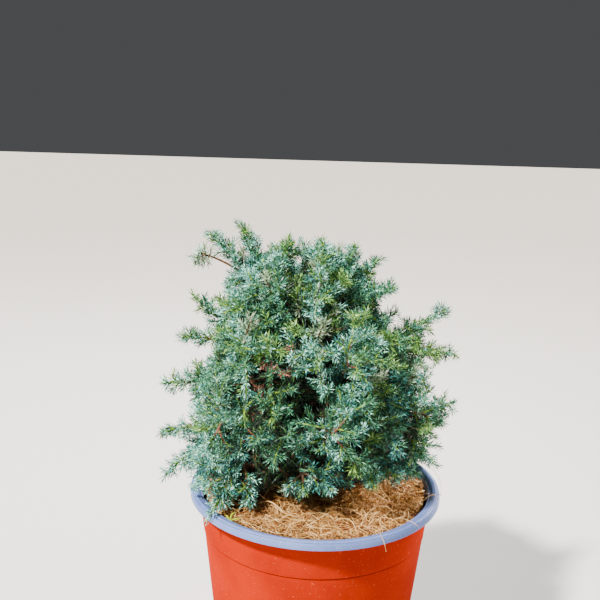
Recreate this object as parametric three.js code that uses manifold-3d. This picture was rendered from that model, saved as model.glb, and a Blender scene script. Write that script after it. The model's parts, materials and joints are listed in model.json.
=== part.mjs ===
// A dwarf conifer in a nursery pot: a thin plastic pot with a turned lip, its ball of growing mix,
// a mat of coir, a leaning trunk, boughs in four tiers and one mass of needle foliage on each bough.
// Millimetres, +Z up. The origin is the middle of the pot's flat underside, and -Y is the front.
import * as THREE from "three";
import { mergeVertices } from "three/addons/utils/BufferGeometryUtils.js";
import Module from "manifold-3d";

const wasm = await Module();
wasm.setup();

// Driving dimensions.
const CLEAR = 0.35; // the gap left between neighbouring solids
const UP = new THREE.Vector3(0, 0, 1);
const GOLDEN_ANGLE = THREE.MathUtils.degToRad(137.508);

const POT = {
  height: 150,
  footRadius: 72, // outer radius of the wall, carried down to the ground
  footChamfer: 2.5,
  taper: 0.109, // how much the wall's radius grows for each millimetre of height
  wall: 1.1,
  floor: 1.6,
  stepHeight: 117, // the fine stacking ledge below the lip
  stepDepth: 0.5,
  holes: 6,
  holeRadius: 6,
  holeCircle: 46,
  sides: 36,
};
// The lip is a shelf that rolls over at its outer edge and hangs down as a thin skirt.
const LIP = { radius: 95, drop: 6, thickness: 1.4, roll: 2.1, skirtLean: 0.2 };
const LINING = { depth: 30, thickness: 0.8 };
const MIX = { top: 128, chamfer: 2 };
const COIR = { edge: 140.5, crown: 3.5, lumps: 1.8, lumpLength: 60, rings: 3 };

const TRUNK = {
  foot: new THREE.Vector3(-24, -2.5, MIX.top - 5), // a little below the flat cut
  knee: new THREE.Vector3(-3, 8, 205),
  tip: new THREE.Vector3(-15, 10, 280),
  flareRadius: 10,
  flareHeight: 0.13, // share of the trunk's length over which the root flare dies out
  radius: 6.6,
  tipRadius: 2,
  sides: 9,
  rings: 11,
};

// The crown is a dome about its heart. Its half-axes and a few broad swellings give the outline.
const CROWN = {
  heart: new THREE.Vector3(-8, 8, 200),
  across: 104,
  front: 94,
  tall: 130,
  lowest: 149, // the foliage's underside above the coir
  frontRise: 0.62, // how steeply that underside rises at the front
  level: 22, // how far forwards the underside stays level
  leftDroop: 0.35, // how much of that rise is lost towards the left, where the sprays hang lower
  leftStart: 28, // how far left that begins
  rightRise: 0.35, // how fast the underside rises towards the right, in front
  rightStart: 20,
  backStart: 40,
  billow: 0.12, // how far the outline dips between two masses
  massWidth: 38, // degrees from a mass's middle to where that dip is deepest
  azimuthJitter: 10,
  liftJitter: 8,
  lipGap: 3, // how far the foliage stays off the pot's lip
};
const SWELLINGS = [
  { azimuth: 20, lift: 32, grow: 0.1, width: 22 }, // the separate lobe at the right
  { azimuth: -10, lift: 50, grow: -0.2, width: 20 }, // the notch beside that lobe
  { azimuth: 180, lift: 8, grow: -0.12, width: 40 }, // the left side, drawn in behind its long shoots
  { azimuth: 180, lift: 45, grow: -0.08, width: 18 },
  { azimuth: 180, lift: 72, grow: 0.08, width: 22 },
  { azimuth: -25, lift: -30, grow: -0.24, width: 20 }, // the crown draws in at the lower right
  { azimuth: 195, lift: -18, grow: -0.07, width: 24 }, // and a little at the lower left
  { azimuth: -60, lift: 78, grow: -0.04, width: 34 },
];
const TIERS = [
  { name: "skirt", count: 7, lift: -15, turn: 12, depth: 0.66, rise: 14 },
  { name: "shoulder", count: 6, lift: 15, turn: 38, depth: 0.69, rise: 24 },
  { name: "upper", count: 5, lift: 43, turn: 10, depth: 0.69, rise: 32 },
  { name: "top", count: 3, lift: 71, turn: 160, depth: 0.73, rise: 28 },
];
// The furthest shoots, which stand out of the dome.
const LEADERS = [
  [-119, 8, 222],
  [-117, -4, 188],
  [-113, -8, 156],
  [-79, -65, 142], // the spray that hangs out over the pot's lip
  [-93, 10, 298],
  [-96, -5, 322], // the thin stray at the upper left
  [-81, 5, 338],
  [-60, 8, 347],
  [-24, 0, 335],
  [0, -5, 334],
  [22, 0, 330],
  [40, 5, 322],
  [57, -15, 295],
  [99, 40, 278],
  [105, 40, 243],
  [110, 38, 204],
  [97, 40, 150],
  [72, -30, 172],
  [-49, -40, 153],
];
// A bough's radius is at most a share of the trunk's. It ends short of its mass's middle by the
// inset, a share of the mass's depth.
const BOUGH = { radius: 2.6, ofTrunk: 0.62, tipRadius: 1.5, sag: 0.07, stagger: 7, inset: 0.85 };
const BOUGH_FACES = { sides: 5, rings: 3 };

// The heart of a mass, as shares of the mass's depth, and the length of its teeth.
const HEART = { radial: 0.6, sideways: 0.86, upright: 0.72, lump: 0.2, tooth: 8.5, lean: 0.5 };
const TWIG = {
  count: 4,
  stations: [0.3, 0.72], // shares of the stem between which the twigs leave it
  lean: [82, 42], // degrees from the stem at the first and the last of them
  turnJitter: 0.7,
  length: [0.9, 1.04], // shares of the way to the crown's outline
  shortest: 14,
  shorten: 3,
  lift: 0.16,
  arch: 0.06,
};
// A spray is a slim six-sided shoot. Every third point of it is drawn out into a tooth of needles.
const SPRAY = {
  sides: 6,
  fewestRows: 2,
  spacing: 12, // of its rows of teeth
  radius: 1.3,
  bare: 0.44, // the share of its length that has no teeth
  out: 8,
  forward: 6,
  taper: 0.6,
};
const SEED = 41;

const COLOURS = {
  pot: 0xd8431b,
  lining: 0x8f9bc0,
  mix: 0x2b1d14,
  coir: 0xb98d57,
  bark: 0x6b4433,
  foliage: [0x5f8f80, 0x6f9f8d, 0x54836f, 0x7fa998],
};

// Repeatable random numbers from 0 to 1: each is the last one times 16807, modulo 2^31 - 1.
function dice(seed) {
  let last = seed * 7919 + 1;
  return () => (last = (last * 16807) % 2147483647) / 2147483647;
}

const radians = THREE.MathUtils.degToRad;

// A closed three.js geometry as a manifold solid.
function solid(geometry) {
  const bare = geometry.index ? geometry.clone() : geometry;
  bare.deleteAttribute("normal");
  bare.deleteAttribute("uv");
  const merged = mergeVertices(bare, 1e-4);
  return new wasm.Manifold(
    new wasm.Mesh({
      numProp: 3,
      vertProperties: merged.attributes.position.array,
      triVerts: new Uint32Array(merged.index.array),
    }),
  );
}

// A manifold solid as a named three.js mesh.
function meshOf(name, made, colour, roughness) {
  const data = made.getMesh();
  const places = new Float32Array(data.numVert * 3);
  for (let i = 0; i < data.numVert; i++) {
    const from = i * data.numProp;
    places.set(data.vertProperties.subarray(from, from + 3), i * 3);
  }
  const geometry = new THREE.BufferGeometry();
  geometry.setAttribute("position", new THREE.BufferAttribute(places, 3));
  geometry.setIndex(new THREE.BufferAttribute(new Uint32Array(data.triVerts), 1));
  geometry.computeVertexNormals();
  const material = new THREE.MeshStandardMaterial({ color: colour, roughness, metalness: 0 });
  const mesh = new THREE.Mesh(geometry, material);
  mesh.name = name;
  return mesh;
}

// Turns a profile of [radius, height] pairs round the vertical axis.
function turned(profile, sides) {
  const points = profile.map(([r, z]) => new THREE.Vector2(r, z));
  return solid(new THREE.LatheGeometry(points, sides).rotateX(Math.PI / 2));
}

// A round bar along a curve, whose radius follows radiusAt from 0 at its start to 1 at its end.
function bar(curve, radiusAt, sides, rings) {
  const geometry = new THREE.CylinderGeometry(1, 1, 1, sides, rings);
  const frames = curve.computeFrenetFrames(rings, false);
  const place = geometry.attributes.position;
  for (let i = 0; i < place.count; i++) {
    const share = place.getY(i) + 0.5;
    const ring = Math.round(share * rings);
    const radius = radiusAt(share);
    const point = curve
      .getPointAt(share)
      .addScaledVector(frames.normals[ring], place.getX(i) * radius)
      .addScaledVector(frames.binormals[ring], -place.getZ(i) * radius);
    place.setXYZ(i, point.x, point.y, point.z);
  }
  return solid(geometry);
}

// The pot's wall radius at a height: outside, inside, and inside its lining.
const wallRadius = (z) => POT.footRadius + POT.taper * z;
const innerRadius = (z) => wallRadius(z) - POT.wall;
const liningRadius = (z) => innerRadius(z) - CLEAR - LINING.thickness;
const wallTop = POT.height - LIP.thickness - LIP.roll / 2;

function potBody() {
  const recess = (z) => wallRadius(z) - POT.stepDepth;
  const aboveStep = POT.stepHeight + POT.stepDepth;
  const profile = [
    [0, 0],
    [recess(POT.footChamfer) - POT.footChamfer, 0],
    [recess(POT.footChamfer), POT.footChamfer],
    [recess(POT.stepHeight), POT.stepHeight],
    [wallRadius(aboveStep), aboveStep],
    [wallRadius(wallTop), wallTop],
    [innerRadius(wallTop), wallTop],
    [innerRadius(POT.floor), POT.floor],
    [0, POT.floor],
  ];
  const holes = [];
  for (let k = 0; k < POT.holes; k++) {
    const angle = (k * 2 * Math.PI) / POT.holes;
    const drill = new THREE.CylinderGeometry(POT.holeRadius, POT.holeRadius, 4 * POT.floor, 10);
    drill.rotateX(Math.PI / 2);
    drill.translate(POT.holeCircle * Math.cos(angle), POT.holeCircle * Math.sin(angle), 0);
    holes.push(solid(drill));
  }
  return turned(profile, POT.sides).subtract(wasm.Manifold.union(holes));
}

// The blue-grey inner layer of the pot's wall, turned out over its edge as a rolled lip.
function potLining() {
  const low = POT.height - LINING.depth;
  const outside = (z) => innerRadius(z) - CLEAR;
  const shelf = POT.height - LIP.thickness;
  const skirtEdge = POT.height - LIP.drop;
  const skirtInside = LIP.radius - LIP.thickness;
  const profile = [
    [liningRadius(low), low],
    [outside(low), low],
    [outside(shelf - LIP.roll / 2), wallTop + CLEAR],
    [wallRadius(wallTop), wallTop + CLEAR],
    [skirtInside - LIP.roll, shelf - LIP.roll / 2],
    [skirtInside, skirtEdge],
    [LIP.radius, skirtEdge],
    [LIP.radius - LIP.skirtLean, skirtEdge + LIP.thickness],
    [LIP.radius - LIP.thickness, POT.height - LIP.roll],
    [LIP.radius - LIP.roll, POT.height - LIP.roll / 3],
    [LIP.radius - 2 * LIP.roll, POT.height],
    [liningRadius(POT.height) + LIP.roll, POT.height - LIP.roll / 4],
    [liningRadius(shelf - LIP.roll / 2), shelf - LIP.roll / 2],
    [liningRadius(low), low],
  ];
  return turned(profile, POT.sides);
}

// What the filling's radius may be at a height, clear of the lining.
const fillRadius = (z) => liningRadius(z) - CLEAR;

function growingMix() {
  const floor = POT.floor + CLEAR;
  const profile = [
    [0, floor],
    [fillRadius(floor) - MIX.chamfer, floor],
    [fillRadius(floor + MIX.chamfer), floor + MIX.chamfer],
    [fillRadius(MIX.top), MIX.top],
    [0, MIX.top],
  ];
  return turned(profile, POT.sides / 2);
}

// The height of the coir's top at a place: a low dome with soft lumps that die out at its edge.
function coirTop(x, y) {
  const share = Math.hypot(x, y) / fillRadius(COIR.edge);
  const wave = (2 * Math.PI) / COIR.lumpLength;
  const lumps = Math.sin(wave * x + 1) * Math.cos(wave * y) + Math.sin(1.7 * wave * (y - x / 2)) / 2;
  return COIR.edge + COIR.crown * (1 - share * share) + COIR.lumps * lumps * (1 - share ** 4);
}

function coirMat(trunkRoom) {
  const low = MIX.top + CLEAR;
  const profile = [new THREE.Vector2(0, low), new THREE.Vector2(fillRadius(low), low)];
  for (let k = COIR.rings; k >= 0; k--) {
    profile.push(new THREE.Vector2((fillRadius(COIR.edge) * k) / COIR.rings, COIR.edge));
  }
  const geometry = new THREE.LatheGeometry(profile, POT.sides).rotateX(Math.PI / 2);
  const place = geometry.attributes.position;
  for (let i = 0; i < place.count; i++) {
    if (place.getZ(i) > (low + COIR.edge) / 2) place.setZ(i, coirTop(place.getX(i), place.getY(i)));
  }
  return solid(geometry).subtract(trunkRoom);
}

const trunkCurve = new THREE.CatmullRomCurve3([TRUNK.foot, TRUNK.knee, TRUNK.tip]);

function trunkRadius(share) {
  const straight = THREE.MathUtils.lerp(TRUNK.radius, TRUNK.tipRadius, share);
  const flare = (TRUNK.flareRadius - TRUNK.radius) * Math.exp(-share / TRUNK.flareHeight);
  return straight + flare;
}

// The trunk, cut off flat on top of the growing mix. It can be made thicker all round.
function trunkBar(grow) {
  const whole = bar(trunkCurve, (share) => trunkRadius(share) + grow, TRUNK.sides, TRUNK.rings);
  const below = new THREE.BoxGeometry(4 * TRUNK.flareRadius, 4 * TRUNK.flareRadius, 20);
  below.translate(TRUNK.foot.x, TRUNK.foot.y, MIX.top + CLEAR - 10);
  return whole.subtract(solid(below));
}

// The point on the trunk's axis at a height, and its share of the trunk's length.
function onTrunk(height) {
  let share = 0;
  while (share < 1 && trunkCurve.getPointAt(share).z < height) share += 0.002;
  return { share: Math.min(share, 1), point: trunkCurve.getPointAt(Math.min(share, 1)) };
}

function direction(azimuth, lift) {
  const a = radians(azimuth);
  const l = radians(lift);
  return new THREE.Vector3(Math.cos(a) * Math.cos(l), Math.sin(a) * Math.cos(l), Math.sin(l));
}

// How far the crown reaches from its heart: the dome's radius that way, times its swellings.
function domeReach(toward) {
  const depth = toward.y < 0 ? CROWN.front : CROWN.across;
  const level = (toward.x / CROWN.across) ** 2 + (toward.y / depth) ** 2;
  let reach = 1 / Math.sqrt(level + (toward.z / CROWN.tall) ** 2);
  for (const swelling of SWELLINGS) {
    const apart = toward.angleTo(direction(swelling.azimuth, swelling.lift));
    reach *= 1 + swelling.grow * Math.exp(-((apart / radians(swelling.width)) ** 2));
  }
  return reach;
}

// One bough and its mass for each place in each tier.
function layOut() {
  const masses = [];
  const roll = dice(SEED);
  for (const tier of TIERS) {
    for (let k = 0; k < tier.count; k++) {
      const azimuth = tier.turn + (360 * k) / tier.count + CROWN.azimuthJitter * (roll() - 0.5);
      const toward = direction(azimuth, tier.lift + CROWN.liftJitter * (roll() - 0.5));
      const reach = domeReach(toward);
      const middle = CROWN.heart.clone().addScaledVector(toward, reach * tier.depth);
      const tip = CROWN.heart.clone().addScaledVector(toward, reach);
      const rootHeight = middle.z - tier.rise + BOUGH.stagger * ((k % 2) - 0.5);
      masses.push({ name: `${tier.name}_${k + 1}`, tier, toward, reach, middle, tip, rootHeight });
    }
  }
  return masses;
}

const masses = layOut();

// How far a point lies inside its mass's own space: the least distance to the planes half-way to
// the other masses, less half the clearance.
function room(point, mass) {
  let least = Infinity;
  for (const other of masses) {
    if (other === mass) continue;
    const across = other.middle.clone().sub(mass.middle);
    const half = across.length() / 2;
    const past = point.clone().sub(mass.middle).dot(across.normalize());
    least = Math.min(least, half - past);
  }
  return least - CLEAR / 2;
}

// The crown's outline for a direction, drawn in where two masses meet.
function reachFor(toward, mass) {
  const apart = toward.angleTo(mass.toward) / radians(CROWN.massWidth);
  return domeReach(toward) * (1 - CROWN.billow * Math.min(1, apart * apart));
}

function boughFor(mass) {
  const root = onTrunk(mass.rootHeight);
  const entry = mass.middle.clone().sub(root.point).normalize();
  const inset = mass.reach * (1 - mass.tier.depth) * BOUGH.inset;
  const end = mass.middle.clone().addScaledVector(entry, -inset);
  const half = root.point.clone().lerp(end, 0.5);
  half.z -= root.point.distanceTo(end) * BOUGH.sag;
  const curve = new THREE.QuadraticBezierCurve3(root.point, half, end);
  const thick = Math.min(BOUGH.radius, trunkRadius(root.share) * BOUGH.ofTrunk);
  const radiusAt = (share) => THREE.MathUtils.lerp(thick, BOUGH.tipRadius, share);
  return { curve, radiusAt, end, heading: curve.getTangentAt(1) };
}

for (const mass of masses) mass.bough = boughFor(mass);

// A limb as short straight stretches, for the test that keeps twigs and needles off it.
function stretches(curve, radiusAt, count) {
  const made = [];
  for (let i = 0; i < count; i++) {
    const line = new THREE.Line3(curve.getPointAt(i / count), curve.getPointAt((i + 1) / count));
    made.push({ line, radius: radiusAt(i / count) });
  }
  return made;
}

const limbs = [
  ...stretches(trunkCurve, trunkRadius, 2 * TRUNK.rings),
  ...masses.flatMap(({ bough }) => stretches(bough.curve, bough.radiusAt, BOUGH_FACES.rings)),
];

function clearOfLimbs(point, radius) {
  const near = new THREE.Vector3();
  return limbs.every((limb) => {
    limb.line.closestPointToPoint(point, true, near);
    return near.distanceTo(point) > limb.radius + radius + CLEAR;
  });
}

// Foliage keeps above the coir, and clear of the pot's lip where it hangs outside it.
function clearOfPot(point) {
  const out = Math.hypot(point.x, point.y);
  if (out > LIP.radius + CROWN.lipGap) return true;
  const rise = CROWN.frontRise * Math.max(0, -point.y - CROWN.level);
  const droop = CROWN.leftDroop * Math.max(0, -point.x - CROWN.leftStart);
  const front = Math.min(1, Math.max(0, 1 - point.y / CROWN.backStart));
  const right = CROWN.rightRise * Math.max(0, point.x - CROWN.rightStart) * front;
  const underside = CROWN.lowest + Math.max(0, rise - droop) + right;
  const overLip = out > liningRadius(POT.height) - CROWN.lipGap;
  return point.z > (overLip ? Math.max(underside, POT.height + CROWN.lipGap) : underside);
}

// True if a tapering spike from one point to another stays in its mass's space.
function fits(from, to, radius, mass) {
  for (let share = 0; share <= 1; share += 0.125) {
    const point = from.clone().lerp(to, share);
    if (!clearOfPot(point) || room(point, mass) < radius) return false;
    if (!clearOfLimbs(point, radius)) return false;
  }
  return true;
}

// Whether a point of the ball is a corner of the icosahedron that it comes from, or the middle of
// one of its faces. No two such points are neighbours in a ball whose edges are cut in three.
const corners = new THREE.IcosahedronGeometry(1, 0).attributes.position;
function isTooth(point) {
  let nearest = 0;
  const corner = new THREE.Vector3();
  for (let i = 0; i < corners.count; i++) {
    nearest = Math.max(nearest, corner.fromBufferAttribute(corners, i).dot(point));
  }
  return nearest > 0.99 || nearest < 0.85;
}

// The heart of a mass: a lumpy ball kept inside its space, with short teeth of needles all over
// it, and cut clear of the limbs.
function heart(mass, roll, limbRoom) {
  const ball = new THREE.IcosahedronGeometry(1, 2);
  ball.deleteAttribute("normal");
  ball.deleteAttribute("uv");
  const geometry = mergeVertices(ball, 1e-4);
  const deep = mass.reach * (1 - mass.tier.depth);
  const side = new THREE.Vector3().crossVectors(UP, mass.toward).normalize();
  const over = new THREE.Vector3().crossVectors(mass.toward, side);
  const place = geometry.attributes.position;
  for (let i = 0; i < place.count; i++) {
    const offset = new THREE.Vector3()
      .addScaledVector(mass.toward, place.getX(i) * deep * HEART.radial)
      .addScaledVector(side, place.getY(i) * deep * HEART.sideways)
      .addScaledVector(over, place.getZ(i) * deep * HEART.upright);
    offset.multiplyScalar(1 + HEART.lump * (roll() - 0.5));
    const point = mass.middle.clone().add(offset);
    while (!clearOfPot(point) || room(point, mass) < 1) point.lerp(mass.middle, 0.06);
    const lean = offset.normalize().addScaledVector(mass.toward, HEART.lean).normalize();
    const tip = point.clone().addScaledVector(lean, HEART.tooth * (0.75 + 0.5 * roll()));
    const drawn = isTooth(new THREE.Vector3().fromBufferAttribute(place, i));
    if (drawn && fits(point, tip, 0.3, mass)) point.copy(tip);
    place.setXYZ(i, point.x, point.y, point.z);
  }
  return solid(geometry).subtract(limbRoom);
}

// A shoot from one point to another with its teeth of needles, which lean forwards and are left
// out where they would leave the mass's space.
function spray({ from, to }, mass, roll) {
  const toothed = from.distanceTo(to) * (1 - SPRAY.bare);
  const rings = 2 + Math.max(SPRAY.fewestRows, Math.round(toothed / SPRAY.spacing));
  const geometry = new THREE.ConeGeometry(1, 1, SPRAY.sides, rings, true);
  const along = to.clone().sub(from).normalize();
  const side = new THREE.Vector3().crossVectors(UP, along).normalize();
  const over = new THREE.Vector3().crossVectors(along, side);
  const half = from.clone().lerp(to, 0.5);
  half.z += TWIG.arch * from.distanceTo(to);
  const axis = new THREE.QuadraticBezierCurve3(from, half, to);
  const teeth = new Map();
  const place = geometry.attributes.position;
  for (let i = 0; i < place.count; i++) {
    const row = Math.round((0.5 - place.getY(i)) * rings);
    const atEnd = row === 0 || row === rings;
    const share = row === rings ? 0 : 1 - ((1 - SPRAY.bare) * row) / (rings - 1);
    const point = axis.getPoint(share);
    if (!atEnd) {
      const angle = Math.atan2(place.getX(i), place.getZ(i));
      const column = Math.round((angle * SPRAY.sides) / (2 * Math.PI));
      const outward = side.clone().multiplyScalar(Math.cos(angle));
      outward.addScaledVector(over, Math.sin(angle));
      const key = `${row},${(column + SPRAY.sides) % SPRAY.sides}`;
      if (!teeth.has(key)) {
        const size = (0.8 + 0.4 * roll()) * (1 - SPRAY.taper * (1 - row / (rings - 1)));
        const tip = point.clone().addScaledVector(outward, SPRAY.out * size);
        tip.addScaledVector(along, SPRAY.forward * size);
        const drawn = (row - column + SPRAY.sides) % 3 === 0;
        const thin = point.clone().addScaledVector(outward, SPRAY.radius * (1 - 0.6 * share));
        teeth.set(key, drawn && fits(thin, tip, 0.3, mass) ? tip : thin);
      }
      point.copy(teeth.get(key));
    }
    place.setXYZ(i, point.x, point.y, point.z);
  }
  return solid(geometry);
}

// The length at which a twig comes out at the crown's outline.
function lengthToOutline(from, heading, mass) {
  for (let length = 2; length < 90; length += 2) {
    const out = from.clone().addScaledVector(heading, length).sub(CROWN.heart);
    if (out.length() > reachFor(out.clone().normalize(), mass)) return length;
  }
  return 90;
}

// Where a mass's twigs run: they leave its stem in turn, at the golden angle, leaning outwards,
// and are shortened until they fit. Its leaders run out from its middle.
function twigsOf(mass, roll) {
  const stem = new THREE.LineCurve3(mass.bough.end, mass.tip);
  const along = stem.getTangent(0);
  const side = new THREE.Vector3().crossVectors(UP, along).normalize();
  const over = new THREE.Vector3().crossVectors(along, side);
  const twigs = LEADERS.map((tip) => ({ from: mass.middle, to: new THREE.Vector3(...tip) }));
  const own = twigs.filter((twig) => room(twig.to, mass) > 0);
  own.push({ from: mass.middle, to: mass.tip });
  for (let k = 0; k < TWIG.count; k++) {
    const share = (k + 0.5) / TWIG.count;
    const from = stem.getPoint(THREE.MathUtils.lerp(...TWIG.stations, share));
    const turn = k * GOLDEN_ANGLE + TWIG.turnJitter * roll();
    const lean = radians(THREE.MathUtils.lerp(...TWIG.lean, share));
    const heading = along.clone().multiplyScalar(Math.cos(lean));
    heading.addScaledVector(side, Math.sin(lean) * Math.cos(turn));
    heading.addScaledVector(over, Math.sin(lean) * Math.sin(turn));
    heading.addScaledVector(UP, TWIG.lift).normalize();
    let length = lengthToOutline(from, heading, mass) * THREE.MathUtils.lerp(...TWIG.length, roll());
    let to = from.clone().addScaledVector(heading, length);
    while (length > TWIG.shortest && !fits(from.clone().lerp(to, 0.5), to, SPRAY.radius, mass)) {
      length -= TWIG.shorten;
      to = from.clone().addScaledVector(heading, length);
    }
    if (length > TWIG.shortest) own.push({ from, to });
  }
  return own;
}

function foliage(mass, index, limbRoom) {
  const roll = dice(SEED + 1 + index);
  const { end, heading } = mass.bough;
  const stemStart = end.clone().addScaledVector(heading, CLEAR);
  const stemEnd = end.clone().addScaledVector(heading, end.distanceTo(mass.middle));
  const stemCurve = new THREE.LineCurve3(stemStart, stemEnd);
  const stem = bar(stemCurve, () => BOUGH.tipRadius, BOUGH_FACES.sides, 1);
  const pieces = [heart(mass, roll, limbRoom), stem];
  for (const twig of twigsOf(mass, roll)) pieces.push(spray(twig, mass, roll));
  const fused = wasm.Manifold.union(pieces).decompose();
  fused.sort((a, b) => b.volume() - a.volume());
  return fused[0];
}

const trunkRoom = trunkBar(CLEAR);
const plant = new THREE.Group();
plant.add(meshOf("pot_body", potBody(), COLOURS.pot, 0.45));
plant.add(meshOf("pot_lining", potLining(), COLOURS.lining, 0.4));
plant.add(meshOf("growing_mix", growingMix(), COLOURS.mix, 0.95));
plant.add(meshOf("coir_mat", coirMat(trunkRoom), COLOURS.coir, 0.9));
plant.add(meshOf("trunk", trunkBar(0), COLOURS.bark, 0.9));
const boughBar = ({ curve, radiusAt }, grow) =>
  bar(curve, (share) => radiusAt(share) + grow, BOUGH_FACES.sides, BOUGH_FACES.rings);
const boughRoom = masses.map((mass) => boughBar(mass.bough, CLEAR));
const limbRoom = wasm.Manifold.union([trunkRoom, ...boughRoom]);
masses.forEach((mass, index) => {
  const limb = boughBar(mass.bough, 0).subtract(trunkRoom);
  plant.add(meshOf(`bough_${mass.name}`, limb, COLOURS.bark, 0.9));
  const colour = COLOURS.foliage[index % COLOURS.foliage.length];
  plant.add(meshOf(`foliage_${mass.name}`, foliage(mass, index, limbRoom), colour, 0.8));
});

export default plant;
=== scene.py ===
# %% [markdown]
# # A dwarf conifer in its nursery pot
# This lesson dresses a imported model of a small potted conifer: a thin plastic pot with a rolled
# blue-grey lip, a mat of coir, a leaning trunk, boughs in four tiers and a dense crown of short
# silvery needles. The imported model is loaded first, as a fixed frame, because every size and
# place below is worked out from it. The finished pieces then stand for its plain solids.

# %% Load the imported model
import json
import math

import bpy
import numpy as np
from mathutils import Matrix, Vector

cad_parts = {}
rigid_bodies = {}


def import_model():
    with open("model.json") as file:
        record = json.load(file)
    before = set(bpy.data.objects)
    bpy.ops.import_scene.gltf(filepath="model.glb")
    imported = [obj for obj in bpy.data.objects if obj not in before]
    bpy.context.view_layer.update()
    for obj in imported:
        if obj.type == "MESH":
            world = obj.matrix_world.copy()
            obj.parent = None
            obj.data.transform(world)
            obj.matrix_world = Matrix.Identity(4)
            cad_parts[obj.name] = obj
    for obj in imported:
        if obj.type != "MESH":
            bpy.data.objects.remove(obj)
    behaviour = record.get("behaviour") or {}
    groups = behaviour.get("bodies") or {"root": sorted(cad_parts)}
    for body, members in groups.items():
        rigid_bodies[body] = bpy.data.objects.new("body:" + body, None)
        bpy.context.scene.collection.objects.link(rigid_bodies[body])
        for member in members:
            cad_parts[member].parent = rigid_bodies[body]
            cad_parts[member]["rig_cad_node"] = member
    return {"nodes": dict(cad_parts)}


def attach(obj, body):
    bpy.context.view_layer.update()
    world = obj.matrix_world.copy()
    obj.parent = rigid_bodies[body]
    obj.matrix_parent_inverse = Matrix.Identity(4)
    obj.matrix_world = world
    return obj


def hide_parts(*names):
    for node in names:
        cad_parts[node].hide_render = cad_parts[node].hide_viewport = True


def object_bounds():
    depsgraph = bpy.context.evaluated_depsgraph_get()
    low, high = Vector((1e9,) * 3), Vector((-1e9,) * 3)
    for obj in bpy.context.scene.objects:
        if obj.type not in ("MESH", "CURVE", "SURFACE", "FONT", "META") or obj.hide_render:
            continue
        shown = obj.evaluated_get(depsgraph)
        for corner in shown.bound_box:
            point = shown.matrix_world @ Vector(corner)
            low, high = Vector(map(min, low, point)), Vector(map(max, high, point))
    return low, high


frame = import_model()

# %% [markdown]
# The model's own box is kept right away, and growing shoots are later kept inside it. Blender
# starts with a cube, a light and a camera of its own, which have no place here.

for spare in [o for o in bpy.data.objects if o.type != "EMPTY" and "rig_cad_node" not in o]:
    bpy.data.objects.remove(spare)
bpy.context.view_layer.update()
cad_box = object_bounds()
print("nodes in the frame:", len(frame["nodes"]))

# %% [markdown]
# Lengths are in millimetres all through the lesson, as on a maker's drawing, and turned to
# Blender's metres only where a mesh is filled. Shapes are whole numpy arrays: one line moves
# ten thousand needles at once, where a loop over vertices would take minutes.

# %% Vector helpers
MM = 0.001
UP = np.array([0.0, 0.0, 1.0])
GOLDEN_ANGLE = math.radians(137.508)
FULL_TURN = 2 * math.pi


def unit(vectors):
    """Each vector divided by its own length."""
    return vectors / np.maximum(np.linalg.norm(vectors, axis=-1, keepdims=True), 1e-9)


def lerp(first, last, share):
    """The first value plus a share of the way to the last."""
    return first + (last - first) * share


def angle_between(one, other):
    """The arc cosine of the dot product of two unit vectors."""
    return np.arccos(np.clip(np.sum(one * other, axis=-1), -1, 1))


def direction(azimuth, lift):
    """The unit vector at an azimuth from +X and a lift above level, both in degrees."""
    a, b = np.radians(azimuth), np.radians(lift)
    return np.stack([np.cos(a) * np.cos(b), np.sin(a) * np.cos(b), np.sin(b) * np.ones_like(a)], -1)


print("a level vector to the left:", direction(180.0, 0.0).round(3))

# %% [markdown]
# A mesh can be filled face by face, or in one go from arrays. The second is far quicker for a
# crown of needles. The faces come as arrays of three or four corners, and a point may carry a
# value of its own, such as how deep it lies in a groove of bark, for its material to read.

# %% A mesh from arrays
PLANT = "root"


def make_piece(name, points, faces, finish, slot, replaced, smooth=True, values=None):
    """Points in millimetres and arrays of faces as one mesh, riding with the plant."""
    mesh = bpy.data.meshes.new(name)
    mesh.vertices.add(len(points))
    mesh.vertices.foreach_set("co", (points * MM).astype(np.float32).ravel())
    corners = np.concatenate([part.ravel() for part in faces]).astype(np.int32)
    sizes = np.concatenate([np.full(len(part), part.shape[1]) for part in faces])
    mesh.loops.add(len(corners))
    mesh.loops.foreach_set("vertex_index", corners)
    mesh.polygons.add(len(sizes))
    mesh.polygons.foreach_set("loop_start", (np.cumsum(sizes) - sizes).astype(np.int32))
    mesh.polygons.foreach_set("use_smooth", np.full(len(sizes), smooth))
    mesh.update(calc_edges=True)
    for label, numbers in (values or {}).items():
        layer = mesh.attributes.new(label, "FLOAT", "POINT")
        layer.data.foreach_set("value", numbers.astype(np.float32).ravel())
    mesh.materials.append(finish)
    piece = bpy.data.objects.new(name, mesh)
    bpy.context.scene.collection.objects.link(piece)
    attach(piece, PLANT)
    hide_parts(*replaced)
    triangles = int((sizes - 2).sum())
    print(f"{name}: {triangles} triangles")
    return piece


print("every piece rides with:", PLANT)

# %% [markdown]
# Most of the plant is tubes: trunk, boughs, twigs, and the fibres on the pot. Each is a circle
# carried along a path. The circle's own side is carried on from ring to ring and only turned
# as much as the path turns, so no tube twists, and each end is closed by a point.

# %% Tubes along many paths at once
def carried_frames(paths):
    """Along: the path's direction. Side: the last side less its part along the new direction."""
    along = unit(np.gradient(paths, axis=1))
    level = np.abs(along[:, 0, 2:3]) > 0.9
    spare = np.where(level, np.array([1.0, 0.0, 0.0]), UP)
    side = np.empty_like(along)
    last = unit(np.cross(along[:, 0], spare))
    for row in range(paths.shape[1]):
        ahead = along[:, row]
        last = unit(last - ahead * np.sum(last * ahead, axis=-1, keepdims=True))
        side[:, row] = last
    return along, side, np.cross(along, side)


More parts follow.
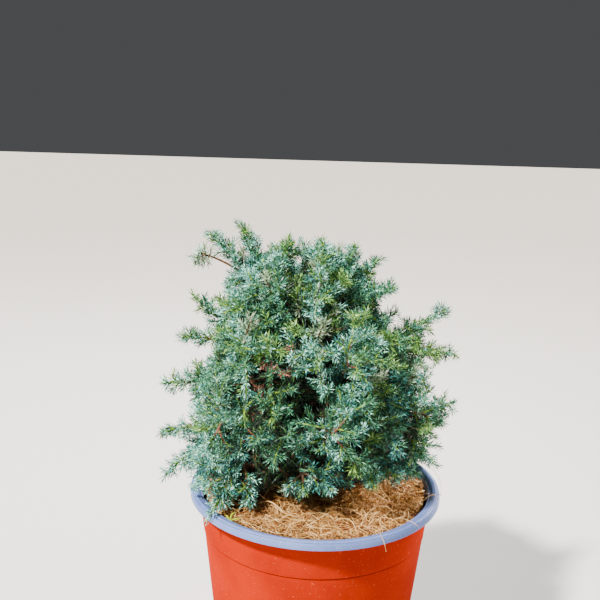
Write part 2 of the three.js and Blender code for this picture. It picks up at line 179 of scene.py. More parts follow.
def ring_faces(rows, sides, closed=False):
    """Quads between neighbouring rings. Unless it is closed, each end is a fan to one point."""
    bands = rows if closed else rows - 1
    row, column = np.meshgrid(np.arange(bands), np.arange(sides), indexing="ij")
    onward = (column + 1) % sides
    ring, next_ring = row * sides, (row + 1) % rows * sides
    quads = np.stack([ring + column, ring + onward, next_ring + onward, next_ring + column], -1)
    quads = quads.reshape(-1, 4)
    if closed:
        return [quads]
    around = np.arange(sides)
    first, last = rows * sides, rows * sides + 1
    top = (rows - 1) * sides
    start_fan = np.stack([np.full(sides, first), (around + 1) % sides, around], -1)
    end_fan = np.stack([np.full(sides, last), top + around, top + (around + 1) % sides], -1)
    return [quads, np.concatenate([start_fan, end_fan])]


def tubes(paths, radii, sides, blunt=0.0):
    """Path point + radius times (side cos turn + over sin turn); radii may differ round a ring."""
    count, rows = paths.shape[:2]
    along, side, over = carried_frames(paths)
    turn = np.arange(sides) * FULL_TURN / sides
    radii = radii if radii.ndim == 3 else radii[:, :, None]
    ring = side[:, :, None] * np.cos(turn)[:, None] + over[:, :, None] * np.sin(turn)[:, None]
    rings = paths[:, :, None] + ring * radii[..., None]
    bulge = blunt * radii.mean(axis=2)
    first = paths[:, 0] - along[:, 0] * bulge[:, :1]
    last = paths[:, -1] + along[:, -1] * bulge[:, -1:]
    points = np.concatenate([rings.reshape(count, -1, 3), first[:, None], last[:, None]], axis=1)
    offset = (np.arange(count) * points.shape[1])[:, None, None]
    faces = [(part + offset).reshape(-1, part.shape[-1]) for part in ring_faces(rows, sides)]
    return points.reshape(-1, 3), faces


print("tube helper ready: a test tube has", len(ring_faces(4, 6)[0]), "quads")

# %% [markdown]
# Pots and lips are turned shapes: a profile carried once round the vertical axis. A moulded
# edge is never sharp, so each corner of the profile is drawn as a small round, and the profile
# is then cut into short steps, so that slow waves of thin plastic can be worked into the wall.

# %% Turned shapes
def rounded(corners, steps=5):
    """Each corner [radius, height, fillet] as a curve from a fillet's length before to one after."""
    corners = np.asarray(corners, float)
    places = corners[:, :2]
    made = [places[:1]]
    share = np.linspace(0, 1, steps)[:, None]
    for before, here, after, fillet in zip(places, places[1:], places[2:], corners[1:, 2]):
        start = here + unit(before - here) * fillet
        end = here + unit(after - here) * fillet
        made.append(lerp(lerp(start, here, share), lerp(here, end, share), share))
    made.append(places[-1:])
    return np.concatenate(made)


def stepped(profile, longest):
    """The profile with points added so that no step is longer than a set length."""
    made = [profile[:1]]
    for start, end in zip(profile, profile[1:]):
        count = max(1, math.ceil(np.linalg.norm(end - start) / longest))
        made.append(lerp(start, end, (np.arange(count)[:, None] + 1) / count))
    return np.concatenate(made)


def turned(profile, sides, shift=None):
    """(radius cos turn, radius sin turn, height), closed on the axis or on the first ring."""
    turn = np.arange(sides) * FULL_TURN / sides
    radius, height = profile[:, 0], profile[:, 1]
    on_axis = radius[0] < 1e-6
    rows = profile[1:-1] if on_axis else profile[:-1]
    wide = rows[:, :1] + (0 if shift is None else shift(rows[:, 1:], turn[None]))
    level = np.repeat(rows[:, 1:], sides, 1)
    points = np.stack([wide * np.cos(turn), wide * np.sin(turn), level], -1).reshape(-1, 3)
    if not on_axis:
        return points, ring_faces(len(rows), sides, closed=True)
    poles = np.array([[0, 0, height[0]], [0, 0, height[-1]]])
    return np.concatenate([points, poles]), ring_faces(len(rows), sides)


test_can = turned(np.array([[0, 0], [1, 0], [1, 2], [0, 2]], float), 6)
print("turned shapes ready: a test can has", len(test_can[0]), "points")

# %% [markdown]
# Every finish is a small tree of shader nodes. One function adds a node with its settings, its
# links and, for a colour ramp, its stops. Another turns the hex colour a painter would name into
# the linear numbers that the shader adds up. Values that are the same all over are set straight
# on the shader. A pattern's scale is worked out from its real size in millimetres. Natural things
# are seldom of one tone, so most of the finishes run through their tones in soft blotches.

# %% Colour and node helpers
def linear(code):
    """sRGB hex to linear: c / 12.92 below 0.04045, else ((c + 0.055) / 1.055) to the power 2.4."""
    parts = np.array([int(code[i : i + 2], 16) for i in (1, 3, 5)]) / 255
    flat = np.where(parts < 0.04045, parts / 12.92, ((parts + 0.055) / 1.055) ** 2.4)
    return (*flat.tolist(), 1.0)


def waves_per_metre(size):
    """A noise scale: one feature for each stretch of the given size in millimetres."""
    return 1 / (MM * size)


def add(tree, kind, settings=None, values=None, links=None, stops=()):
    """A new node: its settings, unlinked values, the outputs that feed it, and a ramp's colours."""
    made = tree.nodes.new(kind)
    for label, value in (settings or {}).items():
        setattr(made, label, value)
    for label, value in (values or {}).items():
        made.inputs[label].default_value = value
    for label, output in (links or {}).items():
        tree.links.new(output, made.inputs[label])
    for _ in stops[2:]:
        made.color_ramp.elements.new(0.5)
    for index, (place, code) in enumerate(stops):
        made.color_ramp.elements[index].position = place
        made.color_ramp.elements[index].color = linear(code)
    return made


def new_finish(name, values):
    """A material with one Principled shader, whose own values are set on its sockets."""
    finish = bpy.data.materials.new(name)
    finish.use_nodes = True
    tree = finish.node_tree
    shader = tree.nodes["Principled BSDF"]
    for label, value in values.items():
        shader.inputs[label].default_value = value
    return finish, tree, shader


def blotched_finish(name, values, noise, stops, relief=None):
    """Colour runs through the stops by a noise in space, which also gives the relief if asked."""
    finish, tree, shader = new_finish(name, values)
    place = add(tree, "ShaderNodeTexCoord").outputs["Object"]
    blotch = add(tree, "ShaderNodeTexNoise", values=noise, links={"Vector": place}).outputs["Fac"]
    colour = add(tree, "ShaderNodeValToRGB", links={"Fac": blotch}, stops=stops)
    tree.links.new(colour.outputs["Color"], shader.inputs["Base Color"])
    if relief:
        bump = add(tree, "ShaderNodeBump", values=relief, links={"Height": blotch})
        tree.links.new(bump.outputs["Normal"], shader.inputs["Normal"])
    return finish


def two_toned(name, pale, deep, size, roughness, gloss):
    """Fibre or young bark: two close tones in stretches of a size in millimetres."""
    return blotched_finish(
        name,
        {"Roughness": roughness, "Specular IOR Level": gloss},
        noise={"Scale": waves_per_metre(size), "Detail": 2.0},
        stops=[(0.35, deep), (0.65, pale)],
    )


print("a glaucous green in linear light:", [round(c, 3) for c in linear("#8fb3a2")[:3]])

# %% [markdown]
# The pot is polypropylene, blown thin from coloured sheet: orange-red and almost matt outside, and
# blue-grey with a soft satin gloss inside and over the lip. Handling leaves specks of dust on it,
# a millimetre or less across, and pale scuffs that run up and down. Both are thresholds of a noise,
# and the noise of the scuffs is stretched along the height.

# %% Dust and scuffs on plastic
SPECK_SIZE, SCUFF_WIDTH, SCUFF_STRETCH = 1.6, 2.4, 0.12
MOST_SPECK, MOST_SCUFF = 0.5, 0.12
PIT_DEPTH, PIT_STRENGTH = 0.3, 0.12


def worn(tree, shader, place, colour, dust):
    """The colour with specks and scuffs of dust over it. The specks stand up a little."""
    speck = add(
        tree,
        "ShaderNodeTexNoise",
        values={"Scale": waves_per_metre(SPECK_SIZE), "Detail": 2.0},
        links={"Vector": place},
    )
    speck_amount = add(
        tree,
        "ShaderNodeMapRange",
        values={"From Min": 0.66, "From Max": 0.78, "To Max": MOST_SPECK},
        links={"Value": speck.outputs["Fac"]},
    )
    stretched = add(
        tree,
        "ShaderNodeMapping",
        values={"Scale": (1.0, 1.0, SCUFF_STRETCH)},
        links={"Vector": place},
    )
    scuff = add(
        tree,
        "ShaderNodeTexNoise",
        values={"Scale": waves_per_metre(SCUFF_WIDTH), "Detail": 4.0, "Roughness": 0.7},
        links={"Vector": stretched.outputs["Vector"]},
    )
    scuff_amount = add(
        tree,
        "ShaderNodeMapRange",
        values={"From Min": 0.62, "From Max": 0.8, "To Max": MOST_SCUFF},
        links={"Value": scuff.outputs["Fac"]},
    )
    both = add(
        tree,
        "ShaderNodeMath",
        {"operation": "MAXIMUM"},
        links={0: speck_amount.outputs["Result"], 1: scuff_amount.outputs["Result"]},
    )
    bump = add(
        tree,
        "ShaderNodeBump",
        values={"Strength": PIT_STRENGTH, "Distance": PIT_DEPTH * MM},
        links={"Height": speck.outputs["Fac"]},
    )
    tree.links.new(bump.outputs["Normal"], shader.inputs["Normal"])
    dusted = add(
        tree,
        "ShaderNodeMix",
        {"data_type": "RGBA"},
        values={"B": linear(dust)},
        links={"Factor": both.outputs["Value"], "A": colour},
    )
    return dusted.outputs["Result"]


print("one speck for each", SPECK_SIZE, "mm, or", waves_per_metre(SPECK_SIZE), "to the metre")

# %% [markdown]
# The sheet's own colour clouds a little over a few centimetres. A thin dark band is painted just
# under the stacking ledge, at one height: painted shade where the ledge overhangs the wall. A pure
# red with no gloss keeps its depth in strong light, where any sheen would turn it pink.

# %% Finishes of the pot
POLYPROPYLENE_IOR = 1.49
LEDGE_HEIGHT = 117
CLOUD_SIZE = 38
LEDGE_SHADE_UNDER, LEDGE_SHADE_HALF, LEDGE_SHADE_COLOUR = 0.35, 0.4, "#661404"


def moulded_sheet(name, tones, dust, roughness, gloss):
    """Polypropylene: clouded colour, worn as above, and painted shade in the band under the ledge.
    """
    pale, middle, deep = tones
    finish, tree, shader = new_finish(
        name, {"Roughness": roughness, "IOR": POLYPROPYLENE_IOR, "Specular IOR Level": gloss}
    )
    place = add(tree, "ShaderNodeTexCoord").outputs["Object"]
    cloud = add(
        tree,
        "ShaderNodeTexNoise",
        values={"Scale": waves_per_metre(CLOUD_SIZE), "Detail": 3.0},
        links={"Vector": place},
    )
    colour = add(
        tree,
        "ShaderNodeValToRGB",
        links={"Fac": cloud.outputs["Fac"]},
        stops=[(0.3, deep), (0.5, middle), (0.72, pale)],
    )
    parts = add(tree, "ShaderNodeSeparateXYZ", links={"Vector": place})
    # painted shade: a thin dark band just under the stacking ledge, where the ledge overhangs the
    # wall
    ledge_shade = add(
        tree,
        "ShaderNodeMath",
        {"operation": "COMPARE"},
        values={1: (LEDGE_HEIGHT - LEDGE_SHADE_UNDER) * MM, 2: LEDGE_SHADE_HALF * MM},
        links={0: parts.outputs["Z"]},
    )
    ledge_shaded = add(
        tree,
        "ShaderNodeMix",
        {"data_type": "RGBA"},
        values={"B": linear(LEDGE_SHADE_COLOUR)},
        links={
            "Factor": ledge_shade.outputs["Value"],
            "A": worn(tree, shader, place, colour.outputs["Color"], dust),
        },
    )
    tree.links.new(ledge_shaded.outputs["Result"], shader.inputs["Base Color"])
    return finish


ORANGE_TONES, GREY_TONES = ("#aa2400", "#a01f00", "#941a00"), ("#6c82bc", "#5e74b0", "#5066a2")
orange_sheet = moulded_sheet(
    "orange_polypropylene", ORANGE_TONES, dust="#ee7a50", roughness=0.7, gloss=0.01
)
grey_sheet = moulded_sheet(
    "blue_grey_polypropylene", GREY_TONES, dust="#c4cee8", roughness=0.42, gloss=0.25
)
print("pot finishes:", orange_sheet.name, grey_sheet.name)

# %% [markdown]
# The pot's outer wall is one turned shape. It stands on a chamfered foot, widens a tenth of a
# millimetre for each millimetre of height, has a fine stacking ledge near its top, and is open
# inside. Thin plastic is never quite round, so the wall gets slow waves of up to a quarter of a
# millimetre. Numbers below are the same driving sizes as the model's.

# %% The pot's wall
POT_HEIGHT = 150
FOOT_RADIUS = 72
WALL_TAPER = 0.109
WALL = 1.1
POT_FLOOR = 1.6
LEDGE_DEPTH = 0.5
LIP_RADIUS = 95
LIP_DROP = 6
LIP_THICKNESS = 1.4
LIP_ROLL = 2.1
LINING_DEPTH = 30
LINING_THICKNESS = 0.8
CLEARANCE = 0.35
FOOT_CHAMFER, CHAMFER_HEIGHT, FLOOR_ROUND = 2.4, 2.5, 3
LONGEST_STEP = 3.0
ROUND_SIDES = 256
FOOT_FADE, TOP_FADE = 30, 25
SLACK_WAVES = [
    # depth in millimetres, waves round the pot, climb in millimetres for each radian
    (0.16, 3, 40),
    (0.1, 7, -23),
]


def wall_radius(z):
    """The outer radius: the foot's radius plus the taper times the height."""
    return FOOT_RADIUS + WALL_TAPER * z


def inner_radius(z):
    """The outer radius less the wall."""
    return wall_radius(z) - WALL


def lining_radius(z):
    """The radius inside the blue-grey lining."""
    return inner_radius(z) - CLEARANCE - LINING_THICKNESS


WALL_TOP = POT_HEIGHT - LIP_THICKNESS - LIP_ROLL / 2


def slack(height, turn):
    """Slow waves round the pot that die out at foot and lip: thin sheet that has relaxed."""
    fade = np.clip(height / FOOT_FADE, 0, 1) * np.clip((WALL_TOP - height) / TOP_FADE, 0, 1)
    return fade * sum(
        depth * np.sin(waves * turn + height / climb) for depth, waves, climb in SLACK_WAVES
    )


wall_corners = [
    # radius, height, fillet
    [0, 0, 0],
    [wall_radius(0) - LEDGE_DEPTH - FOOT_CHAMFER, 0, 1.2],
    [wall_radius(CHAMFER_HEIGHT) - LEDGE_DEPTH, CHAMFER_HEIGHT, 1.2],
    [wall_radius(LEDGE_HEIGHT) - LEDGE_DEPTH, LEDGE_HEIGHT - 0.6, 0.3],
    [wall_radius(LEDGE_HEIGHT) - LEDGE_DEPTH - 0.45, LEDGE_HEIGHT, 0.15],
    [wall_radius(LEDGE_HEIGHT + 0.3), LEDGE_HEIGHT + 0.1, 0.1],
    [wall_radius(WALL_TOP), WALL_TOP, 0.3],
    [inner_radius(WALL_TOP), WALL_TOP, 0.3],
    [inner_radius(POT_FLOOR + FLOOR_ROUND), POT_FLOOR + FLOOR_ROUND, 2],
    [inner_radius(POT_FLOOR) - FOOT_CHAMFER, POT_FLOOR, 2],
    [0, POT_FLOOR, 0],
]
wall_profile = stepped(rounded(wall_corners), LONGEST_STEP)
wall_shape = turned(wall_profile, ROUND_SIDES, slack)
pot_wall = make_piece("pot_wall", *wall_shape, orange_sheet, "pot_outer_plastic", ["pot_body"])

# %% [markdown]
# Water leaves a nursery pot through holes in its floor. They are cut with a Boolean, the one
# job here that is easier to leave to Blender than to work out on a grid. The drills are tubes
# from the same helper, and are thrown away once the cut is made.

# %% Drainage holes
HOLE_COUNT, HOLE_RADIUS, HOLE_CIRCLE = 6, 6.0, 46
DRILL_LOW, DRILL_LENGTH, DRILL_SIDES = -3.0, 6.0, 24
drill_turn = np.arange(HOLE_COUNT) * 360 / HOLE_COUNT
drill_foot = HOLE_CIRCLE * direction(drill_turn, 0.0) + DRILL_LOW * UP
drill_paths = drill_foot[:, None] + np.array([0.0, DRILL_LENGTH])[None, :, None] * UP
drill_points, drill_faces = tubes(drill_paths, np.full((HOLE_COUNT, 2), HOLE_RADIUS), DRILL_SIDES)
drill_faces = [face for part in drill_faces for face in part.tolist()]
drill_mesh = bpy.data.meshes.new("drills")
drill_mesh.from_pydata((drill_points * MM).tolist(), [], drill_faces)
drills = bpy.data.objects.new("drills", drill_mesh)
bpy.context.scene.collection.objects.link(drills)
cut = pot_wall.modifiers.new("holes", "BOOLEAN")
cut.object = drills
cut.operation = "DIFFERENCE"
cut.solver = "EXACT"
bpy.context.view_layer.objects.active = pot_wall
bpy.ops.object.modifier_apply(modifier="holes")
bpy.data.objects.remove(drills)
print("pot wall after drilling:", len(pot_wall.data.polygons), "faces")

# %% [markdown]
# The lining shows as the blue-grey inner wall and as the lip that it rolls over into. The lip is
# the first thing the eye meets on the pot, so its roll is drawn as a full round with a slightly
# hollow shelf inside it, and its skirt hangs free of the wall with a fine lower edge.

# %% The lining and its lip
LINING_LOW = POT_HEIGHT - LINING_DEPTH
SHELF = POT_HEIGHT - LIP_THICKNESS
SKIRT_EDGE = POT_HEIGHT - LIP_DROP
SEAM = LINING_LOW + 5
SKIRT_WAVE, SKIRT_WAVES = 0.12, 5
lip_corners = [
    # radius, height, fillet, once round the section from a seam in the inner face
    [lining_radius(SEAM), SEAM, 0],
    [lining_radius(LINING_LOW), LINING_LOW, 0.25],
    [inner_radius(LINING_LOW) - CLEARANCE, LINING_LOW, 0.25],
    [inner_radius(WALL_TOP) - CLEARANCE, WALL_TOP + CLEARANCE, 0.3],
    [wall_radius(WALL_TOP) + 0.2, WALL_TOP + CLEARANCE, 0.8],
    [LIP_RADIUS - LIP_THICKNESS - 0.9, SHELF - LIP_ROLL / 2, 1.2],
    [LIP_RADIUS - LIP_THICKNESS, SKIRT_EDGE, 0.4],
    [LIP_RADIUS, SKIRT_EDGE, 0.4],
    [LIP_RADIUS - 0.1, POT_HEIGHT - LIP_ROLL, 1.6],
    [LIP_RADIUS - LIP_ROLL, POT_HEIGHT, 1.5],
    [lining_radius(POT_HEIGHT) + 3.2, POT_HEIGHT - 0.35, 2.2],
    [lining_radius(POT_HEIGHT - 4), POT_HEIGHT - 4, 1.8],
    [lining_radius(SEAM), SEAM, 0],
]


def lip_slack(height, turn):
    """A wave on the lip alone, which stands free. The wall keeps the lining under it round."""
    free = np.clip((height - (SKIRT_EDGE - 1)) / 4, 0, 1)
    return free * SKIRT_WAVE * np.sin(SKIRT_WAVES * turn + 1)


lip_profile = stepped(rounded(lip_corners, steps=7), longest=2.0)
lip_shape = turned(lip_profile, ROUND_SIDES, lip_slack)
make_piece("pot_lining_and_lip", *lip_shape, grey_sheet, "pot_inner_plastic", ["pot_lining"])

# %% [markdown]
# Under the coir the pot is full of growing mix: peat, bark crumbs and a little grit. It shows
# only through the drainage holes, so the model's own solid stays and gets this finish.

# %% Finish of the growing mix
CRUMB_SIZE, CRUMB_RELIEF = 3.5, 1.5
mix_finish = blotched_finish(
    "peat_growing_mix",
    {"Roughness": 0.95, "Specular IOR Level": 0.2},
    noise={"Scale": waves_per_metre(CRUMB_SIZE), "Detail": 8.0},
    stops=[(0.3, "#1a110b"), (0.55, "#3a281b"), (0.8, "#5d4630")],
    relief={"Strength": 0.8, "Distance": CRUMB_RELIEF * MM},
)
mix_node = frame["nodes"]["growing_mix"]
mix_node.data.materials.clear()
mix_node.data.materials.append(mix_finish)
print("growing mix finished as", mix_finish.name)

# %% [markdown]
# Coir is the fibre of coconut husk, golden to rusty brown, and each fibre is a curl of 6 to 40 mm
# radius. The mat is a bed of packed fibre with thousands of single fibres strewn on it. The bed is
# painted dark brown to near black, as painted shade in the gaps between the fibres. Real fibres
# are 0.1 to 0.4 mm thick; these are near 0.4 mm, as finer ones would vanish in a picture.

# %% The coir's bed
COIR_EDGE, COIR_CROWN, COIR_LUMPS, LUMP_LENGTH = 140.5, 3.5, 1.8, 60
MIX_TOP = 128
TANGLE_SIZE = 2.2
BED_SIDES, BED_RINGS, BED_ROUND = 180, 60, 0.4
BED_UNDER, BED_RELIEF = 1.2, 0.5


def fill_radius(z):
    """What fits inside the lining, with its clearance."""
    return lining_radius(z) - CLEARANCE


def coir_top(x, y):
    """A low dome plus soft lumps that die out at its edge, as on the model's solid."""
    share = np.clip(np.hypot(x, y) / fill_radius(COIR_EDGE), 0, 1)
    wave = FULL_TURN / LUMP_LENGTH
    lumps = np.sin(wave * x + 1) * np.cos(wave * y) + np.sin(1.7 * wave * (y - x / 2)) / 2
    return COIR_EDGE + COIR_CROWN * (1 - share**2) + COIR_LUMPS * lumps * (1 - share**4)


# painted shade: the bed's near-black tones stand for the shade in the gaps between the fibres
bed_shade_finish = blotched_finish(
    "packed_coir_painted_shade",
    {"Roughness": 0.95, "Specular IOR Level": 0.15},
    noise={"Scale": waves_per_metre(TANGLE_SIZE), "Detail": 6.0, "Distortion": 2.5},
    stops=[(0.32, "#20120a"), (0.52, "#4a2d15"), (0.72, "#765028")],
)
bed_low = MIX_TOP + CLEARANCE
bed_wide = fill_radius(bed_low)
bed_share = np.linspace(1, 0, BED_RINGS)[:-1]
bed_profile = np.concatenate(
    [
        [[0, bed_low], [bed_wide - BED_ROUND, bed_low], [bed_wide, bed_low + BED_ROUND]],
        np.stack([fill_radius(COIR_EDGE) * bed_share, np.full(BED_RINGS - 1, COIR_EDGE)], -1),
        [[0, COIR_EDGE]],
    ]
)
bed_points, bed_faces = turned(bed_profile, BED_SIDES)
on_top = bed_points[:, 2] > (bed_low + COIR_EDGE) / 2
x, y = bed_points[on_top, 0], bed_points[on_top, 1]
ridges = np.sin(x * 1.9 + 2 * np.sin(y * 0.7)) * np.sin(y * 1.7 + 2 * np.sin(x * 0.6))
bed_points[on_top, 2] = coir_top(x, y) - BED_UNDER + BED_RELIEF * ridges
make_piece("coir_bed", bed_points, bed_faces, bed_shade_finish, "coir_fibre", ["coir_mat"])

# %% [markdown]
# A fibre's path is drawn by heading alone: it turns at a steady rate, with a slow change of that
# rate, and the points are the running sum of short steps along the heading. It lies on the dome
# at a small height of its own and rises in a low arch. Fibres near the wall are turned back, so
# that none goes through the lining. Three tones are dealt out, one piece each, and a few hundred
# longer straw-coloured fibres lie on top of the mat, where single ones can be seen.

# %% Coir fibres
FIBRE_SEED = 7
FIBRE_COUNT = 6600
FIBRE_STEPS = 11
FIBRE_RADIUS = 0.2
FIBRE_FINISHES = [
    ("golden_coir", "#d8a458", "#9c6c2e"),
    ("straw_coir", "#f2d49a", "#d2a464"),
    ("rusty_coir", "#985a2a", "#603618"),
]
FIBRE_SHARES = [0.44, 0.26, 0.3]
TOP_COUNT, TOP_LIFT, STRAW = 260, 1.2, 1
STRAIGHTEST, WAVE_SPREAD, TILT_SPREAD = 0.15, 0.5, 0.8
WALL_GAP, MOST_TURN_BACK = 0.9, 12
LOWEST_LAYER, HIGHEST_LAYER = -0.9, 1.3
THINNEST, THICKEST, END_TAPER = 0.65, 1.25, 0.55
draw = np.random.default_rng(FIBRE_SEED)


def strewn(count, radius):
    """Points spread evenly over a disc: the radius grows with the square root of a draw."""
    out, turn = radius * np.sqrt(draw.random(count)), FULL_TURN * draw.random(count)
    return out * np.cos(turn), out * np.sin(turn)


def fibre_paths(count, longest, shortest, curl, arch):
    """Running sum of steps along a heading that turns steadily, laid on the coir's dome."""
    x, y = strewn(count, fill_radius(COIR_EDGE) - 2)
    share = np.linspace(0, 1, FIBRE_STEPS)
    length = lerp(shortest, longest, draw.random(count))[:, None]
    side = draw.choice([-1, 1], count)
    bend = (side * lerp(STRAIGHTEST, 1.0, draw.random(count)) / curl)[:, None]
    sway = draw.normal(0, WAVE_SPREAD, (count, 1))
    wave = sway * np.sin(share * FULL_TURN + FULL_TURN * draw.random((count, 1)))
    heading = FULL_TURN * draw.random((count, 1)) + bend * length * share + wave
    step = length / (FIBRE_STEPS - 1)
    across = x[:, None] + np.cumsum(np.cos(heading) * step, axis=1)
    deep = y[:, None] + np.cumsum(np.sin(heading) * step, axis=1)
    out = np.hypot(across, deep)
    limit = fill_radius(COIR_EDGE) - WALL_GAP
    back = (2 * limit - out).clip(limit - MOST_TURN_BACK)
    pull = np.where(out > limit, back / np.maximum(out, 1), 1.0)
    across, deep = across * pull, deep * pull
    rise = arch * draw.random((count, 1)) ** 2 * np.sin(math.pi * share) ** 0.8
    layer = lerp(LOWEST_LAYER, HIGHEST_LAYER, draw.random((count, 1)))
    tilt = draw.normal(0, TILT_SPREAD, (count, 1)) * (share - 0.5)
    height = coir_top(across, deep) + layer + rise + tilt
    return np.stack([across, deep, height], -1)


def fibre_finish(name, pale, deep):
    """Dry plant fibre: rough, with paler and darker stretches along it."""
    return two_toned(name, pale, deep, size=6, roughness=0.7, gloss=0.35)


matted = fibre_paths(FIBRE_COUNT, longest=46, shortest=12, curl=6.0, arch=9.0)
lying = fibre_paths(TOP_COUNT, longest=60, shortest=28, curl=13.0, arch=11.0) + UP * TOP_LIFT
strands = np.concatenate([matted, lying])
dealt = draw.choice(len(FIBRE_SHARES), FIBRE_COUNT, p=FIBRE_SHARES)
tone = np.append(dealt, np.full(TOP_COUNT, STRAW))
thickness = FIBRE_RADIUS * lerp(THINNEST, THICKEST, draw.random(len(strands)))
taper = 1 - END_TAPER * np.abs(np.linspace(-1, 1, FIBRE_STEPS)) ** 3
for index, (name, pale, deep) in enumerate(FIBRE_FINISHES):
    fibres = tubes(strands[tone == index], thickness[tone == index, None] * taper, sides=3)
    label = "coir_fibres_" + name.removesuffix("_coir")
    make_piece(label, *fibres, fibre_finish(name, pale, deep), "coir_fibre", ["coir_mat"])

# %% [markdown]
# The plant's skeleton follows the same seeded rule as the model, written out again here. Masses
# of foliage sit in four tiers round the crown's heart, each tier's azimuths shaken by a repeatable
# draw. The crown's outline is a dome with a few broad swellings, so any direction from the heart
# gives the distance at which a shoot comes out into the light.

# %% The crown's layout
SEED = 41
HEART = np.array([-8.0, 8.0, 200.0])
CROWN_ACROSS, CROWN_FRONT, CROWN_TALL = 104, 94, 130
CROWN_LOWEST, FRONT_RISE, FRONT_LEVEL = 149, 0.62, 22
LEFT_DROOP, LEFT_START = 0.35, 28
BILLOW, MASS_WIDTH = 0.12, 38
AZIMUTH_JITTER, LIFT_JITTER, BOUGH_STAGGER = 10, 8, 7
LIP_GAP = 3
SWELLINGS = [
    # azimuth, lift, growth, width in degrees
    (20, 32, 0.10, 22),
    (-10, 50, -0.20, 20),
    (180, 8, -0.12, 40),
    (180, 45, -0.08, 18),
    (180, 72, 0.08, 22),
    (-25, -30, -0.24, 20),
    (195, -18, -0.07, 24),
    (-60, 78, -0.04, 34),
]
TIERS = [
    # name, masses, lift, turn, depth, rise of a bough from its root to its mass
    ("skirt", 7, -15, 12, 0.66, 14),
    ("shoulder", 6, 15, 38, 0.69, 24),
    ("upper", 5, 43, 10, 0.69, 32),
    ("top", 3, 71, 160, 0.73, 28),
]


def dice(seed):
    """Repeatable draws from 0 to 1: each is the last times 16807, modulo 2 to the 31st less 1."""
    last = seed * 7919 + 1
    while True:
        last = (last * 16807) % 2147483647
        yield last / 2147483647


def dome_reach(toward):
    """The ellipsoid's radius that way, times one plus each swelling's bell curve."""
    depth = np.where(toward[..., 1] < 0, CROWN_FRONT, CROWN_ACROSS)
    level = (toward[..., 0] / CROWN_ACROSS) ** 2 + (toward[..., 1] / depth) ** 2
    reach = 1 / np.sqrt(level + (toward[..., 2] / CROWN_TALL) ** 2)
    for azimuth, lift, growth, width in SWELLINGS:
        apart = angle_between(toward, direction(azimuth, lift)) / math.radians(width)
        reach = reach * (1 + growth * np.exp(-(apart**2)))
    return reach


def lay_out():
    """One mass for each place in each tier: its name, way, reach, depth and bough's root height."""
    rows, roll = [], dice(SEED)
    for name, count, lift, turn, depth, rise in TIERS:
        for k in range(count):
            azimuth = turn + 360 * k / count + AZIMUTH_JITTER * (next(roll) - 0.5)
            toward = direction(azimuth, lift + LIFT_JITTER * (next(roll) - 0.5))
            reach = float(dome_reach(toward))
            middle = HEART + toward * reach * depth
            root = middle[2] - rise + BOUGH_STAGGER * ((k % 2) - 0.5)
            rows.append((f"{name}_{k + 1}", toward, reach, depth, middle, root))
    return rows


masses = lay_out()
mass_names = [name for name, *_ in masses]
mass_toward, mass_reach, mass_depth, mass_middle, mass_root = (
    np.array(column) for column in list(zip(*masses))[1:]
)
mass_tip = HEART + mass_toward * mass_reach[:, None]
print("masses of foliage:", len(masses))

# %% [markdown]
# The trunk is a smooth curve through its foot, its knee and its tip. Boughs leave it at a height
# of their own, sag a little and run to their mass. Both are kept as curves here, because twigs
# and bark alike are laid along them.

# %% Trunk and bough curves
TRUNK_POINTS = np.array([[-24, -2.5, MIX_TOP - 5], [-3, 8, 205], [-15, 10, 280]], float)
TRUNK_RADIUS, TRUNK_TIP, FLARE_RADIUS, FLARE_SHARE = 6.6, 2.0, 10.0, 0.13
BOUGH_RADIUS, OF_TRUNK, BOUGH_TIP, BOUGH_SAG, BOUGH_INSET = 2.6, 0.62, 1.5, 0.07, 0.85


def smooth_curve(points, count):
    """A centripetal Catmull-Rom curve: a cubic for each stretch, its ends led on straight."""
    ends = [2 * points[0] - points[1], *points, 2 * points[-1] - points[-2]]
    made = []
    for p0, p1, p2, p3 in zip(ends, ends[1:], ends[2:], ends[3:]):
        d0, d1, d2 = (np.linalg.norm(b - a) ** 0.5 for a, b in ((p0, p1), (p1, p2), (p2, p3)))
        t1 = ((p1 - p0) / d0 - (p2 - p0) / (d0 + d1) + (p2 - p1) / d1) * d1
        t2 = ((p2 - p1) / d1 - (p3 - p1) / (d1 + d2) + (p3 - p2) / d2) * d1
        t = np.linspace(0, 1, count)[:, None]
        square, cube = t**2, t**3
        bend = (-3 * p1 + 3 * p2 - 2 * t1 - t2) * square + (2 * p1 - 2 * p2 + t1 + t2) * cube
        made.append(p1 + t1 * t + bend)
    return np.concatenate([made[0], *[part[1:] for part in made[1:]]])


trunk_line = smooth_curve(TRUNK_POINTS, 101)
trunk_run = np.concatenate([[0], np.cumsum(np.linalg.norm(np.diff(trunk_line, axis=0), axis=1))])
TRUNK_LENGTH = trunk_run[-1]


def trunk_point(share):
    """The point at a share of the trunk's length."""
    at = np.asarray(share) * TRUNK_LENGTH
    return np.stack([np.interp(at, trunk_run, trunk_line[:, i]) for i in range(3)], -1)


def trunk_radius(share):
    """A straight taper plus a root flare that dies out upwards."""
    flare = (FLARE_RADIUS - TRUNK_RADIUS) * np.exp(-share / FLARE_SHARE)
    return lerp(TRUNK_RADIUS, TRUNK_TIP, share) + flare


def bezier(start, half, end, share):
    """The quadratic curve: squares of the two shares, and twice their product at the middle."""
    back = 1 - share
    return start * back**2 + half * 2 * share * back + end * share**2


